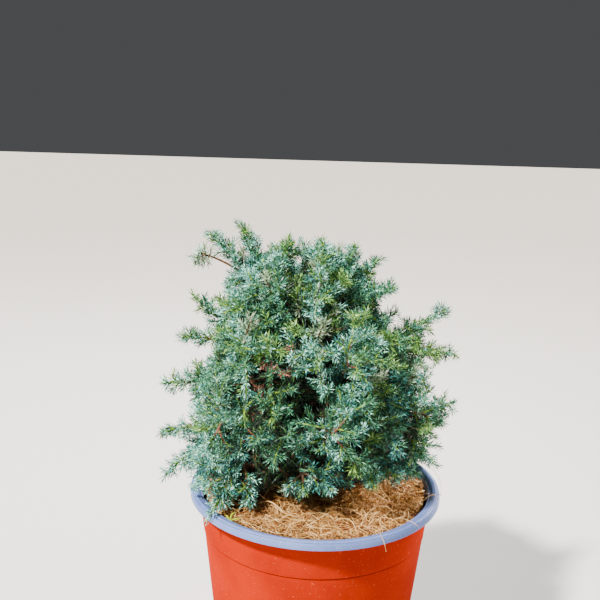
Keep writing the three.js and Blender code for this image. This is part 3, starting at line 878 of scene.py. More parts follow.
SHARE_STEP = 0.002
root_shares = np.arange(0, 1.0001, SHARE_STEP)
root_heights = trunk_point(root_shares)[:, 2]
bough_share = np.array([root_shares[np.argmax(root_heights >= height)] for height in mass_root])
bough_root = trunk_point(bough_share)
entry = unit(mass_middle - bough_root)
inset = mass_reach * (1 - mass_depth) * BOUGH_INSET
bough_end = mass_middle - entry * inset[:, None]
bough_span = np.linalg.norm(bough_end - bough_root, axis=1)
bough_half = (bough_root + bough_end) / 2 - UP * (bough_span * BOUGH_SAG)[:, None]
bough_thick = np.minimum(BOUGH_RADIUS, trunk_radius(bough_share) * OF_TRUNK)
print("trunk length:", round(float(TRUNK_LENGTH), 1), "mm, boughs:", len(bough_end))

# %% [markdown]
# Bark on a dwarf conifer of this age is thin, red-brown to grey, and splits into long fibrous
# strips. The relief is worked into the mesh: strips run up the limb and wander, with a sharp
# groove between neighbours and a lifted edge here and there. The depth of the groove at a point
# is kept with it, and the finish reads it, so grooves are painted dark where they are deep:
# painted shade in the grooves.

# %% Bark relief and finish
TRUNK_RINGS, BOUGH_RINGS = 220, 40
BOUGH_FROM, COLLAR, COLLAR_SHARE = 0.03, 0.5, 0.06
PATCH_SIZE, PATCH_WEIGHT = 9, 0.5
MEAN_RELIEF, END_RELIEF = 0.8, 0.5
LIMB_SHIFT, RUN_SHIFT = 2.3, 31


def bark_relief(turn, run, strips):
    """Rounded strips, |cos| of a count times the turn, whose phase wanders with the run."""
    wander = 0.9 * np.sin(run / 19 + 0.7) + 0.5 * np.sin(run / 7.7 + 2.0)
    broad = np.abs(np.cos(strips / 2 * turn + wander))
    fine = np.abs(np.cos(strips * turn - 1.6 * wander + 0.5 * np.sin(run / 3.1)))
    flakes = np.sin(run / 5.3 + 3 * np.sin(2 * turn) + 1.5 * np.sin(strips / 2 * turn))
    return 0.55 * broad**0.6 + 0.3 * fine**0.7 + 0.15 * flakes


bark_finish, tree, shader = new_finish(
    "fibrous_bark", {"Roughness": 0.85, "Specular IOR Level": 0.25}
)
relief = add(tree, "ShaderNodeAttribute", {"attribute_name": "relief"}).outputs["Fac"]
place = add(tree, "ShaderNodeTexCoord").outputs["Object"]
patch = add(
    tree,
    "ShaderNodeTexNoise",
    values={"Scale": waves_per_metre(PATCH_SIZE), "Detail": 5.0},
    links={"Vector": place},
)
mixed = add(
    tree,
    "ShaderNodeMath",
    {"operation": "MULTIPLY_ADD"},
    values={1: PATCH_WEIGHT},
    links={0: patch.outputs["Fac"], 2: relief},
)
# painted shade: where the relief is low, deep in a groove, the ramp gives the darkest bark
bark_tone_and_groove_shade = add(
    tree,
    "ShaderNodeValToRGB",
    links={"Fac": mixed.outputs["Value"]},
    stops=[(0.35, "#23140f"), (0.62, "#5a3527"), (0.9, "#855a45"), (1.0, "#a98671")],
)
tree.links.new(bark_tone_and_groove_shade.outputs["Color"], shader.inputs["Base Color"])


def barked(name, paths, radii, sides, strips, depth, replaced):
    """Tubes whose radius swings by the bark's relief, with the relief kept as a value."""
    legs = np.linalg.norm(np.diff(paths, axis=1), axis=-1)
    run = np.concatenate([np.zeros((len(paths), 1)), np.cumsum(legs, axis=1)], axis=1)
    turn = np.arange(sides) * FULL_TURN / sides
    phase = np.arange(len(paths))[:, None, None] * LIMB_SHIFT
    relief = bark_relief(turn[None, None] + phase, run[:, :, None] + RUN_SHIFT * phase, strips)
    full = radii[:, :, None] * (1 + depth * (relief - MEAN_RELIEF))
    ends = np.full((len(paths), 2), END_RELIEF)
    kept = {"relief": np.concatenate([relief.reshape(len(paths), -1), ends], axis=1)}
    limbs = tubes(paths, full, sides, blunt=0.3)
    make_piece(name, *limbs, bark_finish, "bark", replaced, values=kept)


TRUNK_CUT = MIX_TOP + CLEARANCE
cut_share = float(np.interp(TRUNK_CUT, root_heights, root_shares))
trunk_share = np.linspace(cut_share + SHARE_STEP, 1, TRUNK_RINGS)
trunk_path, trunk_radii = trunk_point(trunk_share)[None], trunk_radius(trunk_share)[None]
barked("trunk_bark", trunk_path, trunk_radii, sides=72, strips=9, depth=0.16, replaced=["trunk"])
bough_steps = np.linspace(BOUGH_FROM, 1, BOUGH_RINGS)[None, :, None]
bough_paths = bezier(bough_root[:, None], bough_half[:, None], bough_end[:, None], bough_steps)
bough_radii = lerp(bough_thick[:, None], BOUGH_TIP, bough_steps[..., 0])
bough_radii = bough_radii * (1 + COLLAR * np.exp(-bough_steps[..., 0] / COLLAR_SHARE))
bough_nodes = [f"bough_{name}" for name in mass_names]
barked("bough_bark", bough_paths, bough_radii, sides=20, strips=6, depth=0.14, replaced=bough_nodes)

# %% [markdown]
# A few strands have worked loose: one arches out over the lip at the right, some lie across it,
# and some stand in loops, most of them at the left. Each is one curve, listed where the
# photographed plant has it. A tiny yellow-green seedling has come up at the left edge of the mat.

# %% Loose strands
STRAND_RINGS = 18
LOOSE_STRANDS = np.array(
    [
        [[82, 42, 152], [106, 26, 148], [98, 8, 136]],
        [[70, -28, 145], [80, -18, 158], [92, -27, 150.5]],
        [[74, -34, 146], [84, -24, 157], [95, -20, 150.5]],
        [[34, -67, 146], [44, -84, 160], [47, -91, 143]],
        [[54, -51, 146], [62, -66, 157], [71, -69, 150.5]],
        [[-41, -44, 145], [-30, -27, 178], [-17, -42, 145]],
        [[-52, -50, 145], [-44, -36, 171], [-30, -46, 145]],
        [[-30, -38, 146], [-18, -30, 172], [-6, -44, 145]],
        [[-62, -40, 145], [-58, -34, 168], [-44, -50, 145]],
        [[20, -50, 146], [30, -40, 166], [44, -48, 145]],
    ],
    float,
)
SEEDLING = np.array(
    [
        [[-59, -62, 146], [-60, -59, 151], [-56, -58, 151]],
        [[-59, -62, 146], [-57, -63, 150], [-53, -64, 149]],
        [[-59, -62, 146], [-61, -61, 149], [-63, -58, 149]],
    ],
    float,
)


def curved_tubes(curves, thick, thin, sides):
    """Each set of three points as a quadratic tube that tapers from its middle to its ends."""
    share = np.linspace(0, 1, STRAND_RINGS)
    start, half, end = (curves[:, i, None] for i in range(3))
    paths = bezier(start, half, end, share[None, :, None])
    radii = lerp(thick, thin, np.abs(2 * share - 1) ** 2)[None].repeat(len(curves), axis=0)
    return tubes(paths, radii, sides)


straw = fibre_finish("loose_straw_coir", "#dcb984", "#a8804c")
seedling_green = fibre_finish("seedling_leaf", "#a3ac1c", "#7b8f1a")
loose = curved_tubes(LOOSE_STRANDS, thick=0.22, thin=0.12, sides=5)
make_piece("coir_loose_strands", *loose, straw, "coir_fibre", ["coir_mat"])
leaves = curved_tubes(SEEDLING, thick=0.75, thin=0.3, sides=6)
make_piece("seedling", *leaves, seedling_green, "needle_foliage", ["coir_mat"])

# %% [markdown]
# Foliage must stay in the crown. Five tests do that, each on whole arrays of points: inside the
# outline, which dips where two masses meet; inside the mass's own space, half-way to its
# neighbours, with some overlap so that no seam shows; out of the notch that parts the top from
# the right lobe; above the coir and the pot's lip; and inside the model's own box. Each shoot is
# tried at short steps, and cut at the last one before its first failure. Leaders stand out of the
# dome, so the first two tests are not put to them.

# %% Where foliage may be
OVERLAP = 14.0
STEP, STEP_SLACK = 1.5, 0.1
RIGHT_RISE, RIGHT_START, BACK_START = 0.35, 20, 40
NEEDLE_ROOM = 7.0
NOTCH_MIDDLE = np.array([69.0, 0.0, 293.0])
NOTCH_WAY = unit(np.array([0.135, 1.0, -0.227]))
NOTCH_RADIUS = 14.0


def room(points, mass):
    """Half the distance to each other mass less how far the point lies towards it: the least."""
    across = mass_middle[None] - mass_middle[mass][:, None]
    distance = np.linalg.norm(across, axis=-1)
    own = distance < 1e-6
    toward = across / np.maximum(distance, 1e-6)[..., None]
    past = np.einsum("nsk,nmk->nsm", points - mass_middle[mass][:, None], toward)
    return np.where(own[:, None], np.inf, distance[:, None] / 2 - past).min(axis=-1)


def within_outline(points, mass, ease):
    """Whether the distance from the heart is under the reach that way, drawn in between masses."""
    out = points - HEART
    toward = unit(out)
    apart = angle_between(toward, mass_toward[mass][:, None]) / math.radians(MASS_WIDTH)
    reach = dome_reach(toward) * (1 - BILLOW * np.minimum(1, apart**2))
    return np.linalg.norm(out, axis=-1) < reach * ease[:, None]


def clear_of_pot(points, droop):
    """Above the coir, above the lip where it is over the lip, and anywhere outside it."""
    out = np.hypot(points[..., 0], points[..., 1])
    rise = FRONT_RISE * np.maximum(0, -points[..., 1] - FRONT_LEVEL)
    lost = LEFT_DROOP * np.maximum(0, -points[..., 0] - LEFT_START)
    right = RIGHT_RISE * np.maximum(0, points[..., 0] - RIGHT_START)
    right = right * np.clip(1 - points[..., 1] / BACK_START, 0, 1)
    underside = CROWN_LOWEST - droop + NEEDLE_ROOM + np.maximum(0, rise - lost) + right
    over_lip = out > lining_radius(POT_HEIGHT) - LIP_GAP
    least = np.where(over_lip, np.maximum(underside, POT_HEIGHT + LIP_GAP), underside)
    return (out > LIP_RADIUS + LIP_GAP) | (points[..., 2] > least)


def outside_notch(points):
    """Further than the notch's radius from the line along its middle, which runs front to back."""
    return np.linalg.norm(np.cross(points - NOTCH_MIDDLE, NOTCH_WAY), axis=-1) > NOTCH_RADIUS


def within_box(points):
    """Inside the model's own box."""
    low, high = (np.array(corner) / MM for corner in cad_box)
    return ((points > low) & (points < high)).all(axis=-1)


def free_length(start, heading, mass, longest, ease, droop, leader):
    """How far each shoot may run: the last of its steps before one that fails a test."""
    steps = np.arange(STEP, float(np.max(longest)) + STEP, STEP)
    points = start[:, None] + heading[:, None] * steps[None, :, None]
    good = within_outline(points, mass, ease) & (room(points, mass) > -OVERLAP)
    good |= leader[:, None]
    good &= clear_of_pot(points, droop[:, None]) & within_box(points) & outside_notch(points)
    good &= steps[None] <= longest[:, None] + STEP_SLACK
    return np.where(good.all(axis=1), steps[-1], steps[np.argmin(good, axis=1)] - STEP)


test_point = np.array([[HEART]])
print("room at the heart for the first mass:", room(test_point, np.array([0])).round(1))

# %% [markdown]
# Shoots are kept as arrays too: the start, middle and end of a curve for each, with the mass it
# belongs to and whether it is a leader. Its ease says how much of the crown's outline it may use.
# A whole generation can then be cut, sorted or joined to another in one line.

# %% Curves of shoots
from dataclasses import dataclass

SHOOT_FIELDS = ["start", "half", "end", "mass", "leader", "ease"]


@dataclass
class Shoots:
    """Curves of one generation: three points each, their mass, and whether they are leaders."""

    start: np.ndarray
    half: np.ndarray
    end: np.ndarray
    mass: np.ndarray
    leader: np.ndarray
    ease: np.ndarray
    kind: np.ndarray = None

    def point(self, share):
        """The quadratic curve at a share."""
        return bezier(self.start, self.half, self.end, share)

    def length(self):
        """Half the control polygon plus half the chord: close for a gentle curve."""
        legs = [self.half - self.start, self.end - self.half, self.end - self.start]
        first_leg, last_leg, chord = (np.linalg.norm(leg, axis=1) for leg in legs)
        return (first_leg + last_leg + chord) / 2

    def cut(self, first, last):
        """A stretch of each curve. Its middle point lies on the first tangent, half-way along."""
        start, end = self.point(first), self.point(last)
        pull = (self.half - self.start) * (1 - first) + (self.end - self.half) * first
        half = start + pull * (last - first)
        return Shoots(start, half, end, self.mass, self.leader, self.ease, self.kind)

    def take(self, index):
        """Some of the shoots, or each as often as the index names it."""
        kind = None if self.kind is None else self.kind[index]
        return Shoots(*[getattr(self, name)[index] for name in SHOOT_FIELDS], kind)


def heading_at(shoots, share):
    """The curve's direction: the difference of its two legs, mixed by the share."""
    return unit((shoots.half - shoots.start) * (1 - share) + (shoots.end - shoots.half) * share)


def joined(*groups):
    """Several generations as one."""
    return Shoots(*[np.concatenate([getattr(g, name) for g in groups]) for name in SHOOT_FIELDS])


TIER_OF = np.repeat(np.arange(len(TIERS)), [count for _, count, *_ in TIERS])
print("tier of each mass:", TIER_OF)

# %% [markdown]
# A generation grows on the one before by the model's own rule. Shoots leave their parent at even
# stations, each turned on by the golden angle, leaning out more at the foot than at the tip, and
# reach for the crown's outline. Skirts droop and tops rise, so the lift differs by tier.

# %% Growing a generation
TIER_LIFT = np.array([-0.22, 0.08, 0.2, 0.3])
STATION_JITTER, TURN_JITTER, LEAN_SPREAD = 0.25, 0.35, 6
LEAST_GROWTH, MOST_GROWTH = 0.78, 1.15
MOST_DROOP, LEADER_DROOP = 5.0, 11.0
ARCH_ON, ARCH_UP, ARCH_LIFT = 0.12, 0.05, 0.1


def grow(parents, spacing, between, lean, length, shortest, seed, lift=1.0, uneven=0.04):
    """A new generation. Station: evenly spaced; turn: golden angle; lean: from foot to tip."""
    draw = np.random.default_rng(seed)
    stretch = parents.length() * (between[1] - between[0])
    count = np.maximum(1, np.rint(stretch / spacing)).astype(int)
    owner = np.repeat(np.arange(len(count)), count)
    place = np.arange(len(owner)) - np.repeat(np.cumsum(count) - count, count)
    jitter = draw.uniform(-STATION_JITTER, STATION_JITTER, len(owner))
    share = lerp(between[0], between[1], (place + 0.5 + jitter) / count[owner])[:, None]
    parent = parents.take(owner)
    start = parent.point(share)
    along = heading_at(parent, share)
    side = unit(np.cross(UP, along) + 1e-4)
    over = np.cross(along, side)
    turn = place * GOLDEN_ANGLE + draw.random(len(count))[owner] * FULL_TURN
    turn = (turn + draw.uniform(-TURN_JITTER, TURN_JITTER, len(owner)))[:, None]
    angle = lerp(lean[0], lean[1], share[:, 0]) + draw.normal(0, LEAN_SPREAD, len(owner))
    angle = np.radians(angle)[:, None]
    around = side * np.cos(turn) + over * np.sin(turn)
    rise = (TIER_LIFT[TIER_OF[parent.mass]] * lift)[:, None]
    heading = unit(along * np.cos(angle) + around * np.sin(angle) + UP * rise)
    wanted = length(share[:, 0], parent.length())
    wanted = wanted * draw.uniform(LEAST_GROWTH, MOST_GROWTH, len(owner))
    ease = parent.ease + uneven * draw.random(len(owner))
    droop = MOST_DROOP * draw.random(len(owner)) ** 2 + LEADER_DROOP * parent.leader
    free = free_length(start, heading, parent.mass, wanted, ease, droop, parent.leader)
    run = np.minimum(wanted, free)[:, None]
    end = start + heading * run
    keep = run[:, 0] > shortest
    arch = (along * ARCH_ON - UP * ARCH_UP * np.sign(ARCH_LIFT - rise)) * run
    half = (start + end) / 2 + arch
    made = Shoots(start, half, end, parent.mass, parent.leader, ease, parent.kind)
    return made.take(keep), owner[keep]


print("lift of each tier's shoots:", dict(zip([name for name, *_ in TIERS], TIER_LIFT.tolist())))

# %% [markdown]
# The plant's first shoots are the model's: the stem of each mass, and the leaders that stand out
# of the dome. A few more leaders are listed here: plumes that hang from the underside, and a
# finger at the left. Each leader belongs to the mass that it has most room in. One of them, the
# stray at the upper left, arches more than the others.

# %% Stems and leaders
LEADERS = np.array(
    [
        [-119, 8, 222],
        [-117, -4, 188],
        [-113, -8, 156],
        [-76, -63, 146],
        [-93, 10, 289],
        [-90, -5, 326],
        [-81, 5, 338],
        [-60, 8, 347],
        [-24, 0, 335],
        [0, -5, 334],
        [22, 0, 330],
        [40, 5, 322],
        [52, -15, 305],
        [99, 40, 278],
        [105, 40, 243],
        [110, 38, 204],
        [97, 40, 150],
        [72, -30, 172],
        [-49, -40, 153],
    ],
    float,
)
SIDE_TIPS = np.array(
    [
        [-46, -56, 154],
        [-22, -56, 168],
        [-10, -66, 172],
        [12, -68, 175],
        [37, -66, 180],
        [57, -54, 177],
        [-101, 0, 262],
    ],
    float,
)
STRAY_LEADER, STRAY_ARCH = 5, 7.0
LEAST_EASE, MOST_EASE = 0.8, 1.07
STEM_ARCH = 0.05


def straight(start, end, mass, leader):
    """Shoots from one set of points to another, with a faint arch."""
    half = (start + end) / 2 + UP * STEM_ARCH * np.linalg.norm(end - start, axis=1)[:, None]
    flags = np.full(len(mass), leader)
    return Shoots(start, half, end, mass, flags, np.full(len(mass), LEAST_EASE))


every_mass = np.arange(len(masses))
leader_tips = np.concatenate([LEADERS, SIDE_TIPS])
leader_room = np.stack([room(leader_tips[None], np.array([m]))[0] for m in every_mass])
leader_mass = leader_room.argmax(axis=0)
stem_way = unit(mass_tip - bough_end)
stem_run = np.linalg.norm(mass_tip - bough_end, axis=1)
eased, never = np.full(len(masses), MOST_EASE), np.full(len(masses), False)
stem_free = free_length(bough_end, stem_way, every_mass, stem_run, eased, eased, never)
stem_tip = bough_end + stem_way * np.minimum(stem_run, stem_free)[:, None]
stems = straight(bough_end, stem_tip, every_mass, False)
leaders = straight(mass_middle[leader_mass], leader_tips, leader_mass, True)
leaders.half[STRAY_LEADER] += UP * STRAY_ARCH
print("leaders on each mass:", np.bincount(leader_mass, minlength=len(masses)))

# %% [markdown]
# How long a shoot would like to be depends on how far along its parent it stands. Twigs want to
# reach the outline. Sprays are 38 to 18 mm long. The plumes on leaders and the small feathery
# shoots are shorter towards their parent's tip, which gives it the outline of a plume.

# %% Lengths that shoots ask for
LONGEST_TWIG, LONGEST_SPRAY, SHORTEST_SPRAY = 78.0, 38.0, 18.0
PLUME_FOOT, PLUME_PART = 5.0, 0.2
SHOOT_FOOT, SHOOT_PART = 4.5, 0.38


def to_outline(share, length):
    """A first-generation twig asks for more than it can have, and gets as far as the outline."""
    return np.full_like(share, LONGEST_TWIG)


def spray_length(share, length):
    """Sprays grow shorter in a straight line from their twig's foot to its tip."""
    return lerp(LONGEST_SPRAY, SHORTEST_SPRAY, share)


def plume_length(share, length):
    """Least length plus a fifth of what is left of the leader: a finger that ends in a point."""
    return PLUME_FOOT + PLUME_PART * (1 - share) * length


def shoot_length(share, length):
    """Least length plus a good third of what is left of the spray: the outline of a plume."""
    return SHOOT_FOOT + SHOOT_PART * (1 - share) * length


print("shoots along a spray of 30 mm:", shoot_length(np.array([0.0, 0.5, 1.0]), 30.0).round(1))

# %% [markdown]
# The first generation is completed by twigs along each stem and bough. The second are the sprays,
# with shorter and denser ones on a leader, and the third the feathery shoots that make up what is
# seen. The stray is a bare twig, so it only keeps the plumes near its end, which droop in a tuft.

# %% Three generations of shoots
GROWTH_SEED = 45
STRAY_TUFT, STRAY_DROOP = 13.0, 8.0
boughs = Shoots(bough_root, bough_half, bough_end, every_mass, never, never + LEAST_EASE)
twigs, _ = grow(
    stems,
    spacing=4.2,
    between=(0.05, 0.85),
    lean=(84, 38),
    length=to_outline,
    shortest=12,
    seed=GROWTH_SEED + 1,
    uneven=MOST_EASE - LEAST_EASE,
)
inner, _ = grow(
    boughs,
    spacing=5.0,
    between=(0.3, 1.0),
    lean=(80, 60),
    length=to_outline,
    shortest=12,
    seed=GROWTH_SEED + 11,
    uneven=MOST_EASE - LEAST_EASE,
)
first = joined(stems, leaders, twigs, inner)
sprays, _ = grow(
    joined(stems, twigs, inner),
    spacing=5.0,
    between=(0.14, 0.98),
    lean=(60, 40),
    length=spray_length,
    shortest=5,
    seed=GROWTH_SEED + 2,
)
plumes, plume_leader = grow(
    leaders,
    spacing=2.6,
    between=(0.2, 0.98),
    lean=(64, 34),
    length=plume_length,
    shortest=3,
    seed=GROWTH_SEED + 21,
)
near_tip = np.linalg.norm(plumes.start - LEADERS[STRAY_LEADER], axis=1) < STRAY_TUFT
kept = (plume_leader != STRAY_LEADER) | near_tip
plumes, on_stray = plumes.take(kept), plume_leader[kept] == STRAY_LEADER
plumes.end[on_stray] -= UP * STRAY_DROOP
in_tuft = np.concatenate([np.full(len(sprays.mass), False), on_stray])
sprays = joined(sprays, plumes)
shoots, shoot_parent = grow(
    sprays,
    spacing=3.1,
    between=(0.12, 0.95),
    lean=(60, 42),
    length=shoot_length,
    shortest=3,
    seed=GROWTH_SEED + 3,
    lift=1.5,
)
print("twigs", len(twigs.mass), "sprays", len(sprays.mass), "shoots", len(shoots.mass))
lengths = [g.length().sum() / 1000 for g in (first, sprays, shoots)]
print("metres of each:", [round(float(n), 1) for n in lengths])

# %% [markdown]
# Colour is dealt out by spray, with a deal for each tier. Tips are mostly glaucous, which is green
# under a pale wax. Behind them sprays turn darker: blue-green in the skirt, leaf green above it.
# This is partly the young tips' bloom and partly painted shade within the crown. The shell is
# thinner in the upper tiers, so the top is painted lighter. Most glaucous sprays at the right are
# dealt leaf green instead, as painted shade on that side. The ones that lie deep in the crown are
# painted a dark green, as painted shade. Fresh sprays are yellow-green, a few bleached ones are
# pale, and a handful have dried to red-brown. The dried ones gather in small tufts at the front,
# where the photographed plant has them.

# %% Kinds of spray
KINDS = ["glaucous", "blue_green", "leaf_green", "shaded", "fresh", "bleached", "dried"]
GLAUCOUS, BLUE_GREEN, LEAF_GREEN, SHADED, FRESH, BLEACHED, DRIED = range(7)
DEALS = {
    # tier: the share of each kind
    "skirt": [0.68, 0.23, 0.03, 0.0, 0.05, 0.01, 0.0],
    "shoulder": [0.58, 0.12, 0.18, 0.0, 0.1, 0.02, 0.0],
    "upper": [0.46, 0.05, 0.28, 0.0, 0.19, 0.02, 0.0],
    "top": [0.48, 0.03, 0.22, 0.0, 0.23, 0.04, 0.0],
}
RIGHT_SHADE_FROM, RIGHT_SHADE_SHARE = 34.0, 0.9
ODD_SHARE = 0.12
DEEP = 0.86
SHADE_SHELLS = np.array([0.935, 0.935, 0.9, 0.88])
DRIED_TUFTS = np.array([[-22, -52, 264], [-22, -60, 248], [-40, -56, 242], [-34, -54, 254]], float)
DRIED_SHOOTS = 3


# painted shade by depth: sprays under the crown's outline get darker greens, the deepest the dark
# shaded kind
def painted_shade_by_depth(kind, group):
    """Painted shade: away from the tips bloom gives way to darker green, and deeper in to the shaded
    kind.
    """
    out = group.end - HEART
    depth = np.linalg.norm(out, axis=1) / dome_reach(unit(out)) / group.ease
    shell_shade_green = np.where(TIER_OF[group.mass] == 0, BLUE_GREEN, LEAF_GREEN)
    within = (depth < SHADE_SHELLS[TIER_OF[group.mass]]) & ~group.leader
    kind = np.where(within & (kind == GLAUCOUS), shell_shade_green, kind)
    return np.where((depth < DEEP) & ~group.leader, SHADED, kind)


def deal_kinds(group, seed):
    """A draw by tier for each spray, darker leaf green at the right as painted shade, and shaded by
    depth.
    """
    draw = np.random.default_rng(seed)
    dealt = np.stack([draw.choice(len(KINDS), len(group.mass), p=deal) for deal in DEALS.values()])
    kind = dealt[TIER_OF[group.mass], np.arange(len(group.mass))]
    # painted shade on the right side: most glaucous sprays at the right are dealt the darker leaf
    # green
    shade_at_right = draw.random(len(kind)) < RIGHT_SHADE_SHARE
    shade_at_right &= (group.end[:, 0] > RIGHT_SHADE_FROM) & (kind == GLAUCOUS)
    return painted_shade_by_depth(np.where(shade_at_right, LEAF_GREEN, kind), group)


def dried_tufts(group):
    """The few outer shoots whose ends lie nearest each tuft's line from the heart."""
    out = group.end - HEART
    toward = unit(DRIED_TUFTS - HEART)
    across = np.linalg.norm(np.cross(toward[:, None], out[None]), axis=-1)
    hidden = (toward @ out.T < 0) | (group.kind == SHADED)[None]
    return np.unique(np.argsort(np.where(hidden, np.inf, across), axis=1)[:, :DRIED_SHOOTS])


sprays.kind = deal_kinds(sprays, GROWTH_SEED + 4)
sprays.kind[np.flatnonzero(in_tuft)[::2]] = BLEACHED
first.kind = deal_kinds(first, GROWTH_SEED + 5)
shoots.kind = sprays.kind[shoot_parent]
odd = np.random.default_rng(GROWTH_SEED + 6).random(len(shoots.kind)) < ODD_SHARE
shoots.kind = painted_shade_by_depth(np.where(odd, deal_kinds(shoots, GROWTH_SEED + 7), shoots.kind), shoots)
shoots.kind[dried_tufts(shoots)] = DRIED
print({name: int((shoots.kind == i).sum()) for i, name in enumerate(KINDS)})

# %% [markdown]
# Wood and young stems are tubes of three to five sides. Old twigs are brown, and sprays russet in
# the shade and a bright yellow-green in the light, which glints between the needles. The stems of
# the small shoots are a plain green. They are joined by age and tone into six pieces.

# %% Twigs and stems
STEM_BLOTCH, STEM_GLOSS = 4, 0.4
STEM_TONES = {
    # finish: pale and deep tone, roughness
    "brown_twig_bark": ("#7b5540", "#4c3226", 0.8),
    "russet_young_bark": ("#80502f", "#583a22", 0.65),
    "yellow_green_stem": ("#8fae34", "#4d7426", 0.5),
    "green_young_stem": ("#4f8540", "#2a5428", 0.5),
}
brown, russet, green_stem, young_stem = (
    two_toned(name, pale, deep, STEM_BLOTCH, roughness, STEM_GLOSS)
    for name, (pale, deep, roughness) in STEM_TONES.items()
)
is_stray = np.arange(len(first.mass)) == len(masses) + STRAY_LEADER
green_sprays = np.isin(sprays.kind, [GLAUCOUS, BLUE_GREEN, LEAF_GREEN, FRESH])
STEMS = [
    # name, curves, rings, sides, radius at the foot and at the tip, finish
    ("old_twigs", first.cut(0.0, 0.62), 7, 5, 1.25, 0.75, brown),
    ("twig_ends", first.take(~is_stray).cut(0.6, 1.0), 5, 4, 0.72, 0.4, green_stem),
    ("stray_twig", first.take(is_stray).cut(0.4, 1.0), 9, 5, 1.0, 0.6, russet),
    ("russet_twigs", sprays.take(~green_sprays), 6, 4, 0.75, 0.4, russet),
    ("green_twigs", sprays.take(green_sprays), 6, 4, 0.75, 0.42, green_stem),
    ("green_shoots", shoots, 3, 3, 0.42, 0.28, young_stem),
]
foliage_nodes = [f"foliage_{name}" for name in mass_names]


def tapering(group, rings, sides, thick, thin):
    """The group's curves as tubes, with the radius in a straight line from foot to tip."""
    share = np.linspace(0, 1, rings)[None, :, None]
    paths = bezier(group.start[:, None], group.half[:, None], group.end[:, None], share)
    return tubes(paths, np.broadcast_to(lerp(thick, thin, share[..., 0]), paths.shape[:2]), sides)


for name, group, rings, sides, thick, thin, finish in STEMS:
    stem = tapering(group, rings, sides, thick, thin)
    make_piece(name, *stem, finish, "bark", foliage_nodes)

# %% [markdown]
# A needle is awl-shaped, about 6 mm long and a millimetre wide: five points and six faces give
# its base, its widest place with a keel below, and its tip. Needles stand in pairs, each pair
# turned a quarter from the last, and lean forwards more and more towards the shoot's tip, so the
# tip closes to a small brush. Their own tips curve in a little. Their faces stay flat, because
# the hard change of tone across the keel is what makes a crown of needles look crisp.

# %% Needles
NEEDLE_LENGTH = 6.2
NEEDLE_WIDTH = 0.95
NEEDLE_KEEL = 0.4
NEEDLE_STATION, SHADED_STATION = 1.2, 2.1
WOBBLE, TURN_SPREAD, SHOOT_TURN = 0.2, 0.3, 1.7
FOOT_LEAN, TIP_LEAN, NEEDLE_SPREAD = 60, 27, 9
FOOT_SIZE, SIZE_GAIN, TIP_LOSS = 0.62, 1.6, 0.38
SMALLEST, LARGEST = 0.82, 1.12
ROOT_OUT, BELLY_AT, BELLY_OUT, TIP_IN = 0.2, 0.4, 0.1, 0.1
NEEDLE_FACES = np.array([[1, 2, 4], [2, 3, 4], [3, 1, 4], [2, 1, 0], [3, 2, 0], [1, 3, 0]])


def needles_on(group, bare, seed):
    """Five points for each needle: root, two edges and a keel at four tenths, and tip."""
    draw = np.random.default_rng(seed)
    span = group.length() * (1 - bare)
    apart = np.where(group.kind == SHADED, SHADED_STATION, NEEDLE_STATION)
    count = np.maximum(2, np.rint(span / apart)).astype(int)
    owner = np.repeat(np.arange(len(count)), count)
    station = np.arange(len(owner)) - np.repeat(np.cumsum(count) - count, count)
    owner, station = np.repeat(owner, 2), np.repeat(station, 2)
    second = np.arange(len(owner)) % 2
    share = (station + 0.6 + draw.uniform(-WOBBLE, WOBBLE, len(owner))) / count[owner]
    place = (bare + (1 - bare) * share)[:, None]
    shoot = group.take(owner)
    along = heading_at(shoot, place)
    side = unit(np.cross(UP, along) + 1e-4)
    over = np.cross(along, side)
    turn = station * math.pi / 2 + second * math.pi + owner * SHOOT_TURN
    turn = (turn + draw.normal(0, TURN_SPREAD, len(owner)))[:, None]
    out = side * np.cos(turn) + over * np.sin(turn)
    lean = lerp(FOOT_LEAN, TIP_LEAN, share**1.5) + draw.normal(0, NEEDLE_SPREAD, len(owner))
    lean = np.radians(lean)[:, None]
    way = along * np.cos(lean) + out * np.sin(lean)
    size = np.minimum(1, FOOT_SIZE + SIZE_GAIN * share) * (1 - TIP_LOSS * share**3)
    size = (size * draw.uniform(SMALLEST, LARGEST, len(owner)))[:, None]
    reach = NEEDLE_LENGTH * size
    broad = unit(np.cross(way, out) + 1e-6) * (NEEDLE_WIDTH / 2 * np.sqrt(size))
    under = unit(np.cross(broad, way)) * NEEDLE_KEEL
    under = np.where(np.sum(under * out, axis=1, keepdims=True) > 0, under, -under)
    root = shoot.point(place) + out * ROOT_OUT
    belly = root + way * reach * BELLY_AT + out * BELLY_OUT
    tip = root + way * reach + along * reach * TIP_IN
    points = np.stack([root, belly + broad, belly - broad, belly + under, tip], axis=1)
    facing_in = np.cross(points[:, 2] - points[:, 1], points[:, 3] - points[:, 1])
    flip = np.sum(facing_in * way, axis=1) < 0
    points[flip, 1], points[flip, 2] = points[flip, 2], points[flip, 1].copy()
    return points, shoot.kind, TIER_OF[shoot.mass]


sets = [
    needles_on(first.take(~is_stray), bare=0.38, seed=GROWTH_SEED + 8),
    needles_on(sprays, bare=0.06, seed=GROWTH_SEED + 9),
    needles_on(shoots, bare=0.0, seed=GROWTH_SEED + 10),
]
needle_points, needle_kind, needle_tier = (np.concatenate(column) for column in zip(*sets))
print("needles:", len(needle_points), "faces:", len(needle_points) * len(NEEDLE_FACES))

# %% [markdown]
# Each kind of needle is a wax-coated leaf: matt, with a faint sheen from the wax, and a tone that
# changes every couple of millimetres, so that neighbours differ. Needles are joined by tier and
# kind, and the largest sets are dealt over several pieces, so that each stays small enough to
# handle. Every piece stands for the masses of its tier.

